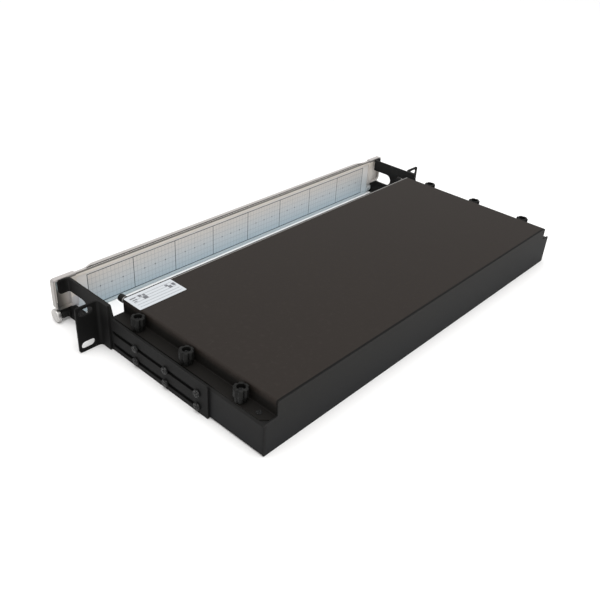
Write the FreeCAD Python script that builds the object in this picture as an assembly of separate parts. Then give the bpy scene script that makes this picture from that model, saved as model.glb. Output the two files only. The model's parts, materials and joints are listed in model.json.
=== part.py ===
"""One-unit fibre patch panel: housing, hat cover, sliding rack brackets and hinged label door.

Millimetres. The origin is the middle of the four ear slots, in the rear face of the rack ears.
+Y runs to the rear of the panel, +Z up, and +X to the right as seen from the front.
"""
import FreeCAD
import Part
import math
import os

V = FreeCAD.Vector
hair = 1e-3
hidden_sides = 8
small_sides = 12
round_sides = 24

# Rack opening and ears
unit_height = 43.6
ear_span = 482.6
ear_flange = 23.1
slot_inset = 8.75
slot_span_z = 31.75
slot_length = 13.2
slot_width = 7.0
ear_corner = 2.0
bracket_t = 2.0
ear_bend = 3.0
ear_leg = 12.6

# Housing
ledge_width = 13.2
body_front = 12.0
body_depth = 178.4
ledge_height = 30.2
tray_t = 1.2
cover_t = 1.0
bend_inner = 0.8
tray_flange = 18.0
rear_low_bend = 1.5
rear_step_bend = 0.6
rear_high_bend = 2.0
rear_shelf = 8.0
shelf_inset = 4.0
cover_gap = 0.3
cover_flange_margin = 1.7
flange_bevel = 6.0

# Thumb screws that hold the cover
thumb_inset = 6.6
thumb_first = 28.0
thumb_last_inset = 30.4
thumb_count = 3
thumb_radius = 6.1
thumb_height = 11.5
thumb_foot = 0.8
thumb_flutes = 6
flute_depth = 1.1
points_per_flute = 4
knob_foot_inset = 1.6
recess_radius = 2.9
recess_depth = 2.2
stud_radius = 2.0
stud_below = 6.0
turn_fit = 0.05
stud_hole = 2.4
stud_rise = 0.8
nut_radius = 3.6
nut_height = 2.6
nut_shank = 2.8

# Locating pins near the rear of the cover
locator_inset = 11.9
locator_radius = 1.5
locator_head = 2.4
locator_head_h = 0.6
locator_length = 5.0
locator_play = 0.3

# Bracket plate, its screws and its forward arms
plate_beyond_screws = 11.5
plate_rise = 1.0
plate_corner = 3.0
plate_low_corner = 1.0
plate_top_corner = 1.5
plate_step = 3.4
rack_screw_pitch = 38.1
rack_screw_count = 3
screw_row_low = 6.0
screw_row_high = 18.6
screw_radius = 1.5
screw_head_radius = 3.5
screw_head_h = 2.1
screw_length = 6.0
row_slot_width = 3.6
slide_travel = 29.4
slot_end_play = 0.4
head_to_ear = 0.5
arm_reach = 49.0
upper_arm_low = 30.4
lower_arm_top = 17.0
arm_gap_rear = 21.3
arm_gap_fill = 0.49
arm_bend_room = 14.0
slope_from_pivot = 11.0
slope_run = 6.0
slope_round = 2.5
tab_width = 9.8
tab_corner = 2.5
tab_bend = 1.5

# Door pivot and its spring pins
pivot_ahead = 5.0
pivot_z = 6.4
pin_radius = 2.5
pin_tip_inset = 0.6
bush_radius = 5.0
bush_length = 8.3
pin_neck = 1.5
pin_head_radius = 6.4
pin_head_t = 3.7

# Door and its label sheet
door_beyond_plate = 13.3
door_rise = 0.4
door_low = 1.5
door_behind_tab = 2.6
door_web_t = 2.8
door_lug_width = 6.9
door_notch_gap = 0.3
notch_over_pin = 0.4
door_corner = 5.0
cap_top_corner = 3.0
cap_rim = 2.0
cap_to_tab = 0.5
label_lip_t = 0.6
label_lip_h = 0.9
label_top_lip_h = 4.3
label_t = 0.3
label_play = 0.2
label_seat = 0.3
label_margin = 11.4
bead_radius = 3.6
bead_ahead = 1.8
bead_end = 18.0
bead_taper = 14.0
lug_radius = 4.7
magnet_radius = 3.0
magnet_gap = 0.3
magnet_sink = 0.4
magnet_wall = 1.2

# Front panel, adapters and dust plugs
panel_t = 1.5
panel_inset = 0.1
group_count = 8
group_gap = 0.6
adapters_per_group = 3
adapter_z = 20.5
adapter_w = 12.7
adapter_h = 25.6
adapter_front = 8.0
adapter_rear = 13.0
adapter_flange = 0.75
adapter_flange_t = 1.4
adapter_play = 0.1
port_wall = 0.8
port_lip = 1.35
port_depth = 7.0
plug_play = 0.1
plug_depth = 5.5
plug_head_t = 3.2
plug_head_inset = 0.7
front_screw_inset = 4.4
front_screw_drop = 5.4
front_knob_radius = 4.1
front_knob_t = 6.0
front_knob_flutes = 8
front_flute_depth = 0.5
front_stud_cover = 2.0
front_stud_reach = 8.0
ferrule_radius = 3.0
ferrule_t = 4.0
front_tab_w = 11.0
front_tab_h = 8.4
front_tab_neck = 5.8
panel_flange = 9.0

# Inside the housing
tray_count = 4
tray_headroom = 5.0
tray_gap = 1.0
tray_w = 150.0
tray_d = 96.0
tray_y = 66.0
tray_wall = 1.2
tray_lift = 2.0
tray_corner = 14.0
corner_steps = 2
ring_radius = 19.2
ring_x = 45.0
comb_w = 44.0
comb_d = 24.0
comb_h = 3.6
comb_slots = 6
comb_floor = 1.0
comb_groove = 4.4
post_radius = 2.4
post_inset = 8.0
post_head = 4.2
post_fit = 0.3
post_nut_h = 1.6
guide_gap = 57.0
guide_w = 16.0
guide_d = 6.0
guide_h = 22.0
guide_wall = 2.0
guide_split = 3.0
guide_corner = 3.0
entry_inset = 14.4
entry_z = 14.0
entry_radius = 8.0
grommet_bore = 5.5
grommet_lip = 2.0
grommet_lip_t = 2.0
clamp_inset = 34.2
clamp_w = 34.0
clamp_d = 12.0
clamp_post_h = 6.0
clamp_t = 3.0
clamp_foot = 5.0
clamp_notch = 3.0

# Worked-out places
base = -unit_height / 2
top = unit_height / 2
rear = body_front + body_depth
half_ear = ear_span / 2
plate_out = half_ear - ear_flange
plate_in = plate_out - bracket_t
half_body = plate_in
half_hat = half_body - ledge_width
ledge = base + ledge_height
tray_flange_top = ledge - cover_t
plate_height = ledge_height + plate_rise
pivot_y = -arm_reach - pivot_ahead
pivot_height = base + pivot_z
slope_y = pivot_y + slope_from_pivot
arm_joint = -arm_reach + arm_bend_room
tab_outer = plate_out + tab_width
door_half = plate_out + door_beyond_plate
door_top = unit_height + door_rise
door_web_rear = -arm_reach - door_behind_tab
door_neck = plate_in - door_notch_gap
door_cap_inner = door_neck - door_lug_width
door_notch = pivot_z + pin_head_radius + notch_over_pin
cap_rear = -arm_reach - cap_to_tab
pin_tip = door_cap_inner + pin_tip_inset
bead_half = door_cap_inner - bead_end
magnet_x = (plate_out + tab_outer) / 2
magnet_height = base + (upper_arm_low + unit_height) / 2
thumb_x = half_body - thumb_inset
thumb_pitch = (body_depth - thumb_first - thumb_last_inset) / (thumb_count - 1)
thumb_ys = [body_front + thumb_first + i * thumb_pitch for i in range(thumb_count)]
locator_y = rear - locator_inset
rack_screw_first = ear_leg + screw_head_radius + head_to_ear + slide_travel
rack_screw_ys = [rack_screw_first + i * rack_screw_pitch for i in range(rack_screw_count)]
plate_rear = rack_screw_ys[-1] + plate_beyond_screws
screw_rows = [base + screw_row_low, base + screw_row_high]
front_screw_x = half_hat - front_screw_inset
front_screw_height = top - front_screw_drop
slot_x = half_ear - slot_inset
group_pitch = 2 * (door_cap_inner - label_margin) / group_count
adapter_pitch = (group_pitch - group_gap) / adapters_per_group
group_xs = [(i - (group_count - 1) / 2) * group_pitch for i in range(group_count)]
adapter_offsets = [(i - (adapters_per_group - 1) / 2) * adapter_pitch for i in range(adapters_per_group)]
adapter_xs = [[x + dx for dx in adapter_offsets] for x in group_xs]
adapter_height = base + adapter_z
panel_front = body_front - panel_t
entry_y = rear - entry_inset
entry_height = base + entry_z
guide_x = tray_w / 2 + guide_gap + guide_w / 2
clamp_x = half_body - clamp_inset
tray_pitch = (unit_height - tray_t - tray_lift - cover_t - tray_headroom) / tray_count
tray_h = tray_pitch - tray_gap


def box(x0, x1, y0, y1, z0, z1):
    """A block between two corners."""
    return Part.makeBox(x1 - x0, y1 - y0, z1 - z0, V(x0, y0, z0))


def rod(radius, start, length, axis):
    """A cylinder of one radius from a start point along an axis."""
    return Part.makeCylinder(radius, length, V(*start), V(*axis))


def peg(radius, start, length, axis, sides=small_sides):
    """A regular prism from a start point along an axis, its corners on a circle of that radius."""
    along = V(*axis)
    across = V(axis[2], axis[0], axis[1])
    other = along.cross(across)
    points = []
    for i in range(sides + 1):
        turn = 2 * math.pi * (i + 0.5) / sides
        points.append(V(*start) + across * (radius * math.cos(turn)) + other * (radius * math.sin(turn)))
    return Part.Face(Part.makePolygon(points)).extrude(along * length)


def eye(radius, start, length, axis, sides=small_sides):
    """The prism that cuts a hole round a circle of that radius, its flats on the circle."""
    return peg(radius / math.cos(math.pi / sides), start, length, axis, sides)


def fluted(radius, depth, flutes, start, length, axis):
    """A straight knob body with shallow finger flutes."""
    along = V(*axis)
    across = V(axis[2], axis[0], axis[1])
    other = along.cross(across)
    points = []
    count = flutes * points_per_flute
    for i in range(count + 1):
        turn = 2 * math.pi * i / count
        reach = radius - depth * (1 - math.cos(flutes * turn)) / 2
        points.append(V(*start) + across * (reach * math.cos(turn)) + other * (reach * math.sin(turn)))
    return Part.Face(Part.makePolygon(points)).extrude(along * length)


def mirrored(shape):
    """The same piece on the other side of the panel."""
    return shape.mirror(V(0, 0, 0), V(1, 0, 0))


def both_sides(name, shape):
    """Right and left copies of a piece, in nodes of their own."""
    return {name + "_right": shape, name + "_left": mirrored(shape)}


def round_corner(before, corner, after, radius):
    """Tangent points and middle point of the arc that rounds a corner in a plane."""
    a = (before - corner).normalize()
    b = (after - corner).normalize()
    half = a.getAngle(b) / 2
    reach = radius / math.tan(half)
    middle = (a + b).normalize()
    start = corner + a * reach
    end = corner + b * reach
    centre = corner + middle * (radius / math.sin(half))
    return start, centre - middle * radius, end


def rounded_run(points, radii):
    """Edges of an open line through the points, each inner corner rounded by its radius."""
    edges = []
    here = points[0]
    for before, corner, after, radius in zip(points, points[1:], points[2:], radii):
        if radius <= 0:
            edges.append(Part.makeLine(here, corner))
            here = corner
            continue
        start, middle, end = round_corner(before, corner, after, radius)
        if here.distanceToPoint(start) > 1e-6:
            edges.append(Part.makeLine(here, start))
        edges.append(Part.Arc(start, middle, end).toShape())
        here = end
    edges.append(Part.makeLine(here, points[-1]))
    return edges


def rounded_outline(corners, plane):
    """A closed face from (u, v, radius) corners, set out in a plane by a mapping function."""
    points = [plane(u, v) for u, v, radius in corners]
    radii = [radius for u, v, radius in corners]
    first = (points[0] + points[-1]) * 0.5
    run = rounded_run([first] + points + [first], radii)
    return Part.Face(Part.Wire(run))


def offset_line(path, distance):
    """The open (u, v) path moved sideways, with mitred corners."""
    normals = []
    for (u0, v0), (u1, v1) in zip(path, path[1:]):
        length = math.hypot(u1 - u0, v1 - v0)
        normals.append(((v0 - v1) / length, (u1 - u0) / length))
    moved = []
    for i, (u, v) in enumerate(path):
        n0 = normals[max(i - 1, 0)]
        n1 = normals[min(i, len(normals) - 1)]
        share = 1 + n0[0] * n1[0] + n0[1] * n1[1]
        moved.append((u + distance * (n0[0] + n1[0]) / share, v + distance * (n0[1] + n1[1]) / share))
    return moved


def sheet(path, thickness, inner_radius, plane, sweep):
    """Bent sheet metal: a mid-line path given thickness and round bends, then extruded."""
    left = offset_line(path, thickness / 2)
    right = offset_line(path, -thickness / 2)
    left_radii = []
    right_radii = []
    for (u0, v0), (u1, v1), (u2, v2) in zip(path, path[1:], path[2:]):
        turn = (u1 - u0) * (v2 - v1) - (v1 - v0) * (u2 - u1)
        inside, outside = inner_radius, inner_radius + thickness
        left_radii.append(inside if turn > 0 else outside)
        right_radii.append(outside if turn > 0 else inside)
    left = [plane(u, v) for u, v in left]
    right = [plane(u, v) for u, v in right]
    edges = rounded_run(left, left_radii)
    edges.append(Part.makeLine(left[-1], right[-1]))
    edges += rounded_run(right[::-1], right_radii[::-1])
    edges.append(Part.makeLine(right[0], left[0]))
    return Part.Face(Part.Wire(edges)).extrude(sweep)


def slot_along_y(y0, y1, z, width, x0, x1):
    """A round-ended slot cut through a side plate."""
    r = width / 2
    middle = box(x0, x1, y0 + r, y1 - r, z - r, z + r)
    ends = [rod(r, (x0, y, z), x1 - x0, (1, 0, 0)) for y in (y0 + r, y1 - r)]
    return middle.fuse(ends)


def hat_outline(y, inset=0.0):
    """Outline of the housing's end: wide below the ledge, narrow above it."""
    w, h = half_body - inset, half_hat - inset
    low, step, high = base + inset, ledge - inset, top - inset
    out, into, up = rear_low_bend, rear_step_bend, rear_high_bend
    corners = [(-w, low, out), (w, low, out), (w, step, out), (h, step, into), (h, high, up),
               (-h, high, up), (-h, step, into), (-w, step, out)]
    return rounded_outline(corners, lambda u, v: V(u, y, v))


def base_tray():
    """Folded tray: floor, sides, inward ledges, full-height rear wall and front corner tabs."""
    mid = tray_t / 2
    side = half_body - mid
    ledge_mid = tray_flange_top - mid
    inner = half_body - tray_flange
    path = [(-inner, ledge_mid), (-side, ledge_mid), (-side, base + mid),
            (side, base + mid), (side, ledge_mid), (inner, ledge_mid)]
    tray = sheet(path, tray_t, bend_inner, lambda u, v: V(u, body_front, v), V(0, body_depth - mid, 0))
    tray = tray.fuse(hat_outline(rear - tray_t).extrude(V(0, tray_t, 0)))
    shelf_top = top - cover_t
    shelf_half = half_hat - shelf_inset
    shelf_front = rear - tray_t - rear_shelf
    tray = tray.fuse(box(-shelf_half, shelf_half, shelf_front, rear - mid, shelf_top - tray_t, shelf_top))
    tab_out = half_hat - cover_t - cover_gap
    tab_top = top - cover_t - cover_gap
    entry = (-half_body - tray_t, entry_y, entry_height)
    holes = [eye(entry_radius, entry, 3 * tray_t, (1, 0, 0))]
    hole_foot = tray_flange_top - 2 * tray_t
    for side in (-1, 1):
        for width, foot in ((front_tab_w, tab_top - front_tab_h), (front_tab_neck, tray_flange_top - mid)):
            xs = sorted((side * tab_out, side * (tab_out - width)))
            tray = tray.fuse(box(xs[0], xs[1], body_front, body_front + tray_t, foot, tab_top))
        screw = (side * front_screw_x, body_front - tray_t, front_screw_height)
        holes.append(eye(stud_hole, screw, 3 * tray_t, (0, 1, 0), hidden_sides))
        for y in thumb_ys:
            nut = (side * thumb_x, y, hole_foot)
            holes.append(eye(nut_shank + turn_fit, nut, 3 * tray_t, (0, 0, 1), hidden_sides))
        pin = (side * thumb_x, locator_y, hole_foot)
        holes.append(eye(locator_radius + locator_play, pin, 3 * tray_t, (0, 0, 1), hidden_sides))
        wall = min(side * (half_body - 2 * tray_t), side * (half_body + tray_t))
        for y in rack_screw_ys:
            for z in screw_rows:
                holes.append(eye(screw_radius + turn_fit, (wall, y, z), 3 * tray_t, (1, 0, 0), hidden_sides))
    return tray.cut(holes).removeSplitter()


def top_cover():
    """Hat-shaped cover with side flanges that rest on the tray's ledges."""
    mid = cover_t / 2
    wall = half_hat - mid
    flange = half_body - cover_flange_margin
    path = [(-flange, ledge - mid), (-wall, ledge - mid), (-wall, top - mid),
            (wall, top - mid), (wall, ledge - mid), (flange, ledge - mid)]
    length = body_depth - tray_t - cover_gap
    cover = sheet(path, cover_t, bend_inner, lambda u, v: V(u, body_front, v), V(0, length, 0))
    end = body_front + length
    foot = ledge - 2 * cover_t
    cuts = []
    for side in (-1, 1):
        out = side * (flange + cover_t)
        corner = [V(out, end + cover_t, foot), V(out, end - flange_bevel, foot),
                  V(side * (flange - flange_bevel), end + cover_t, foot)]
        cuts.append(Part.Face(Part.makePolygon(corner + corner[:1])).extrude(V(0, 0, 3 * cover_t)))
        for y in thumb_ys:
            cuts.append(eye(stud_hole, (side * thumb_x, y, foot), 3 * cover_t, (0, 0, 1), hidden_sides))
        pin = (side * thumb_x, locator_y, foot)
        cuts.append(eye(locator_radius + turn_fit, pin, 3 * cover_t, (0, 0, 1), hidden_sides))
    return cover.cut(cuts)


def locating_pins():
    """Two low rivets on the cover's flanges whose shanks drop into the tray."""
    pins = []
    up = (0, 0, 1)
    for x in (-thumb_x, thumb_x):
        foot = (x, locator_y, ledge - locator_length)
        shank = peg(locator_radius, foot, locator_length, up, hidden_sides)
        pins.append(shank.fuse(peg(locator_head, (x, locator_y, ledge), locator_head_h, up)))
    return Part.makeCompound(pins)


def thumb_knob(x, y):
    """Fluted plastic knob with a foot and a recess over its stud."""
    up = (0, 0, 1)
    foot = peg(thumb_radius - knob_foot_inset, (x, y, ledge), thumb_foot, up)
    grip = (x, y, ledge + thumb_foot)
    body = fluted(thumb_radius, flute_depth, thumb_flutes, grip, thumb_height - thumb_foot, up)
    recess = eye(recess_radius, (x, y, ledge + thumb_height - recess_depth), 2 * recess_depth, up)
    bore = eye(stud_radius + turn_fit, (x, y, ledge - thumb_foot), thumb_height, up, hidden_sides)
    return foot.fuse(body).cut([recess, bore]).removeSplitter()


def thumb_stud(x, y):
    """Steel stud of a thumb screw, from the knob's recess to below the ledge."""
    low = tray_flange_top - stud_below
    high = ledge + thumb_height - recess_depth + stud_rise
    return rod(stud_radius, (x, y, low), high - low, (0, 0, 1))


def press_nuts():
    """Round press nuts under one ledge."""
    nuts = []
    up = (0, 0, 1)
    under = tray_flange_top - tray_t
    for y in thumb_ys:
        low = (thumb_x, y, under - nut_height)
        body = peg(nut_radius, low, nut_height, up, hidden_sides)
        shank = peg(nut_shank, (thumb_x, y, under), tray_t, up, hidden_sides)
        bore = eye(stud_radius + turn_fit, low, nut_height + tray_t, up, hidden_sides)
        nuts.append(body.fuse(shank).cut(bore))
    return Part.makeCompound(nuts)


def row_slot(z):
    """One long adjustment slot, shared by the three screws of its row."""
    r = row_slot_width / 2
    front = rack_screw_ys[0] - r - slide_travel - slot_end_play
    back = rack_screw_ys[-1] + r + slot_end_play
    return slot_along_y(front, back, z, row_slot_width, plate_in - bracket_t, plate_out + bracket_t)


def bracket_plate():
    """Side plate with two slot rows, and the two arms that carry the door round a cable gap."""
    yz = lambda u, v: V(plate_in, u, base + v)
    step = ear_leg + plate_step
    gap_round = (upper_arm_low - lower_arm_top) * arm_gap_fill
    outline = [(pivot_y, 0, 0), (plate_rear, 0, plate_low_corner), (plate_rear, plate_height, plate_corner),
               (step, plate_height, plate_step), (ear_leg, unit_height, plate_top_corner),
               (arm_joint, unit_height, 0), (arm_joint, upper_arm_low, 0),
               (-arm_gap_rear, upper_arm_low, gap_round), (-arm_gap_rear, lower_arm_top, gap_round),
               (slope_y, lower_arm_top, slope_round), (slope_y - slope_run, 2 * pivot_z, slope_round),
               (pivot_y, 2 * pivot_z, 0)]
    points = [yz(u, v) for u, v, r in outline]
    edges = rounded_run(points, [r for u, v, r in outline[1:-1]])
    nose = Part.Arc(points[-1], yz(pivot_y - pivot_z, pivot_z), points[0]).toShape()
    plate = Part.Face(Part.Wire(edges + [nose])).extrude(V(bracket_t, 0, 0))
    half = bracket_t / 2
    path = [(plate_in + half, arm_joint), (plate_in + half, half - arm_reach), (tab_outer, half - arm_reach)]
    arm_height = unit_height - upper_arm_low
    arm = sheet(path, bracket_t, tab_bend, lambda u, v: V(u, v, base + upper_arm_low), V(0, 0, arm_height))
    tab_edges = [e for e in arm.Edges if e.BoundBox.XMin > tab_outer - hair and e.BoundBox.ZLength < hair]
    arm = arm.makeFillet(tab_corner, tab_edges)
    plate = plate.fuse(arm).removeSplitter()
    for z in screw_rows:
        plate = plate.cut(row_slot(z))
    seat = (plate_in - bracket_t, pivot_y, pivot_height)
    return plate.cut(eye(pin_radius + turn_fit, seat, 3 * bracket_t, (1, 0, 0)))


def rack_ear():
    """Angle ear on the outside of the bracket plate, with two oval rack slots."""
    half = bracket_t / 2
    path = [(plate_out + half, ear_leg), (plate_out + half, -half), (half_ear, -half)]
    ear = sheet(path, bracket_t, ear_bend, lambda u, v: V(u, v, base), V(0, 0, unit_height))
    tips = [e for e in ear.Edges if e.BoundBox.XMin > half_ear - hair and e.BoundBox.ZLength < hair]
    ear = ear.makeFillet(ear_corner, tips)
    r = slot_width / 2
    run = slot_length / 2 - r
    near, far = -2 * bracket_t, bracket_t
    for z in (-slot_span_z / 2, slot_span_z / 2):
        ear = ear.cut(box(slot_x - run, slot_x + run, near, far, z - r, z + r))
        for end in (slot_x - run, slot_x + run):
            ear = ear.cut(rod(r, (end, near, z), far - near, (0, 1, 0)))
    return ear


def rack_screws():
    """Six low-headed screws that clamp one bracket plate to the housing."""
    screws = []
    for y in rack_screw_ys:
        for z in screw_rows:
            tip = (plate_out - screw_length, y, z)
            shank = peg(screw_radius, tip, screw_length, (1, 0, 0), hidden_sides)
            screws.append(shank.fuse(peg(screw_head_radius, (plate_out, y, z), screw_head_h, (1, 0, 0))))
    return Part.makeCompound(screws)


def pin_bush():
    """Black guide bush for the spring pin, on the outside of the lower arm."""
    across = (1, 0, 0)
    bush = peg(bush_radius, (plate_out, pivot_y, pivot_height), bush_length, across, round_sides)
    return bush.cut(eye(pin_radius + turn_fit, (plate_in, pivot_y, pivot_height), 2 * bush_length, across))


def hinge_pin():
    """Plated spring pin: shank, neck and the flat head that is pulled to free the door."""
    shoulder = plate_out + bush_length + pin_neck
    shank = rod(pin_radius, (pin_tip, pivot_y, pivot_height), shoulder - pin_tip, (1, 0, 0))
    head = peg(pin_head_radius, (shoulder, pivot_y, pivot_height), pin_head_t, (1, 0, 0), round_sides)
    return shank.fuse(head)


def door_section(x0, x1):
    """Door profile between the end caps: web, label lips at top and bottom."""
    web_front = door_web_rear - door_web_t
    lip_front = door_web_rear + label_t + label_play
    lip_rear = lip_front + label_lip_t
    foot, head = base + door_low, base + door_top
    seat = label_lip_t + label_seat
    web = box(x0, x1, web_front, door_web_rear, foot, head)
    web = web.fuse([box(x0, x1, door_web_rear, lip_rear, foot, foot + seat),
                    box(x0, x1, door_web_rear, lip_rear, head - seat, head)])
    low_lip = box(x0, x1, lip_front, lip_rear, foot, foot + seat + label_lip_h)
    high_lip = box(x0, x1, lip_front, lip_rear, head - seat - label_top_lip_h, head)
    return web.fuse([low_lip, high_lip])


def door_panel():
    """Moulded door with a rounded finger bead along the middle of its top edge."""
    door = door_section(-door_cap_inner, door_cap_inner)
    y = door_web_rear - door_web_t - bead_ahead
    z = base + door_top - bead_radius
    bead = rod(bead_radius, (-bead_half + bead_taper, y, z), 2 * (bead_half - bead_taper), (1, 0, 0))
    ends = []
    for sign in (-1, 1):
        start = V(sign * (bead_half - bead_taper), y, z)
        cone = Part.makeCone(bead_radius, bead_radius / 2, bead_taper, start, V(sign, 0, 0))
        ends.append(cone)
    return door.fuse([bead] + ends).removeSplitter()


def door_end_cap():
    """End of the door: a rimmed shell beside the arm, and the lug that turns on the pin."""
    front = door_web_rear - door_web_t
    edge, foot, head = door_half - cap_rim, door_notch + cap_rim, door_top - cap_rim
    shell = rounded_outline([(door_cap_inner, door_notch, 0), (door_half, door_notch, door_corner),
                             (door_half, door_top, cap_top_corner), (door_cap_inner, door_top, 0)],
                            lambda u, v: V(u, front, base + v))
    shell = shell.extrude(V(0, cap_rear - front, 0))
    hollow = rounded_outline([(door_neck, foot, 0), (edge, foot, door_corner - cap_rim),
                              (edge, head, cap_top_corner - cap_rim), (door_neck, head, 0)],
                             lambda u, v: V(u, door_web_rear - magnet_sink, base + v))
    shell = shell.cut(hollow.extrude(V(0, 2 * cap_rim + door_web_t, 0)))
    lower = box(door_cap_inner, door_neck, front, door_web_rear, base + door_low, base + foot)
    across = (1, 0, 0)
    lug = peg(lug_radius, (door_cap_inner, pivot_y, pivot_height), door_lug_width, across, round_sides)
    boss_rear = -arm_reach - magnet_gap
    seat = (magnet_x, door_web_rear - magnet_sink, magnet_height)
    boss = peg(magnet_radius + magnet_wall, seat, boss_rear - seat[1], (0, 1, 0))
    pocket = eye(magnet_radius + turn_fit, seat, door_web_t + cap_rim, (0, 1, 0))
    bore_start = (door_cap_inner - pin_radius, pivot_y, pivot_height)
    bore = rod(pin_radius + turn_fit, bore_start, door_lug_width + 2 * pin_radius, across)
    return shell.fuse([lower, lug, boss]).cut([pocket, bore])


def catch_magnets():
    """Round magnets that hold the closed door to the arm tabs."""
    seat = door_web_rear - magnet_sink
    length = -arm_reach - magnet_gap - seat
    return Part.makeCompound([peg(magnet_radius, (x, seat, magnet_height), length, (0, 1, 0))
                              for x in (-magnet_x, magnet_x)])


def label_sheet():
    """Paper designation sheet held under the door's lips."""
    edge = label_lip_t + label_seat + label_play
    low, high = base + door_low + edge, base + door_top - edge
    reach = door_cap_inner - label_play
    return box(-reach, reach, door_web_rear, door_web_rear + label_t, low, high)


def front_panel():
    """Front plate with a window for each group of adapters and a foot flange on the tray floor."""
    plate = hat_outline(panel_front, panel_inset).extrude(V(0, panel_t, 0))
    flange_z = base + tray_t
    reach = group_xs[-1] + adapter_pitch
    foot = box(-reach, reach, panel_front, body_front + panel_flange, flange_z, flange_z + panel_t)
    plate = plate.fuse(foot).removeSplitter()
    w = adapter_offsets[-1] + adapter_w / 2 + adapter_play
    h = adapter_h / 2 + adapter_play
    low, high = adapter_height - h, adapter_height + h
    cut_from, cut_to = panel_front - panel_t, body_front + panel_t
    holes = [box(x - w, x + w, cut_from, cut_to, low, high) for x in group_xs]
    for x in (-front_screw_x, front_screw_x):
        holes.append(eye(stud_hole, (x, cut_from, front_screw_height), cut_to - cut_from, (0, 1, 0)))
    return plate.cut(holes)


def adapter(x):
    """Upright duplex adapter: body through the plate, flange against it, a mouth for two connectors."""
    z = adapter_height
    w, h = adapter_w / 2, adapter_h / 2
    front = panel_front - adapter_front
    body = box(x - w, x + w, front, body_front + adapter_rear, z - h, z + h)
    g = adapter_flange
    flange = box(x - w - g, x + w + g, panel_front - adapter_flange_t, panel_front, z - h - g, z + h + g)
    pw, ph = w - port_wall, h - port_lip
    mouth = box(x - pw, x + pw, front - port_wall, front + port_depth, z - ph, z + ph)
    return body.fuse(flange).cut(mouth)


def dust_plug(x):
    """Duplex dust plug: a finger block with a stem in the adapter's mouth."""
    z = adapter_height
    face = panel_front - adapter_front
    w, h = adapter_w / 2 - plug_head_inset, adapter_h / 2 - plug_head_inset
    head = box(x - w, x + w, face - plug_head_t, face, z - h, z + h)
    pw, ph = adapter_w / 2 - port_wall - plug_play, adapter_h / 2 - port_lip - plug_play
    return head.fuse(box(x - pw, x + pw, face, face + plug_depth, z - ph, z + ph))


def front_knob():
    """Black thumb knob at an upper corner of the front plate."""
    x, z = front_screw_x, front_screw_height
    y0 = panel_front - ferrule_t - front_knob_t
    inward = (0, 1, 0)
    knob = fluted(front_knob_radius, front_flute_depth, front_knob_flutes, (x, y0, z), front_knob_t, inward)
    seat = (x, y0 + front_stud_cover, z)
    return knob.cut(eye(stud_radius + turn_fit, seat, front_knob_t, inward, hidden_sides))


def front_stud():
    """Plated ferrule and stud behind a front knob."""
    x, z = front_screw_x, front_screw_height
    ferrule = peg(ferrule_radius, (x, panel_front - ferrule_t, z), ferrule_t, (0, 1, 0))
    start = panel_front - ferrule_t - front_knob_t + front_stud_cover
    stud = rod(stud_radius, (x, start, z), panel_front + front_stud_reach - start, (0, 1, 0))
    return ferrule.fuse(stud)


def rounded_block(x0, x1, y0, y1, z0, z1, radius):
    """A block whose four upright edges are rounded in a few steps."""
    points = []
    for x, y, start in ((x1 - radius, y1 - radius, 0), (x0 + radius, y1 - radius, 1),
                        (x0 + radius, y0 + radius, 2), (x1 - radius, y0 + radius, 3)):
        for i in range(corner_steps + 1):
            turn = math.pi / 2 * (start + i / corner_steps)
            points.append(V(x + radius * math.cos(turn), y + radius * math.sin(turn), z0))
    return Part.Face(Part.makePolygon(points + points[:1])).extrude(V(0, 0, z1 - z0))


def tray_floor(level):
    """Height of one splice tray's underside."""
    return base + tray_t + tray_lift + level * tray_pitch


def splice_tray(level):
    """Shallow splice tray with rounded ends and a fibre ring in each half."""
    x, y0, y1 = tray_w / 2, tray_y, tray_y + tray_d
    z0 = tray_floor(level)
    w = tray_wall
    outer = rounded_block(-x, x, y0, y1, z0, z0 + tray_h, tray_corner)
    inner = rounded_block(-x + w, x - w, y0 + w, y1 - w, z0 + w, z0 + tray_h + w, tray_corner - w)
    tray = outer.cut(inner)
    middle = (y0 + y1) / 2
    for side in (-ring_x, ring_x):
        centre = (side, middle, z0 + w)
        ring = peg(ring_radius, centre, tray_h - w, (0, 0, 1))
        tray = tray.fuse(ring.cut(peg(ring_radius - w, centre, tray_h, (0, 0, 1))))
    for px, py in post_places():
        boss = peg(post_radius + w + post_fit, (px, py, z0), tray_h, (0, 0, 1), hidden_sides)
        hole = eye(post_radius + post_fit, (px, py, z0 - w), 2 * tray_h, (0, 0, 1), hidden_sides)
        tray = tray.fuse(boss).cut(hole)
    return tray


def post_places():
    """Middle points of the two posts that stack the splice trays."""
    return [(s * (tray_w / 2 - post_inset), tray_y + tray_d - post_inset) for s in (-1, 1)]


def splice_combs():
    """Grooved splice holders, one on the floor of each tray."""
    combs = []
    middle = tray_y + tray_d / 2
    y0, y1 = middle - comb_d / 2, middle + comb_d / 2
    pitch = comb_w / comb_slots
    for level in range(tray_count):
        z0 = tray_floor(level) + tray_wall
        comb = box(-comb_w / 2, comb_w / 2, y0, y1, z0, z0 + comb_h)
        grooves = []
        for i in range(comb_slots):
            x = -comb_w / 2 + (i + 0.5) * pitch
            grooves.append(box(x - comb_groove / 2, x + comb_groove / 2, y0 - comb_h, y1 + comb_h,
                               z0 + comb_floor, z0 + 2 * comb_h))
        combs.append(comb.cut(grooves))
    return Part.makeCompound(combs)


def tray_posts():
    """Stacking posts with a spacer foot and a round nut on top."""
    posts = []
    floor = base + tray_t
    stack_top = tray_floor(tray_count - 1) + tray_h
    for x, y in post_places():
        post = peg(post_radius, (x, y, floor), stack_top - floor, (0, 0, 1))
        foot = peg(post_head, (x, y, floor), tray_lift, (0, 0, 1))
        nut = peg(post_head, (x, y, stack_top), post_nut_h, (0, 0, 1))
        posts.append(post.fuse([foot, nut]).removeSplitter())
    return Part.makeCompound(posts)


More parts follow.
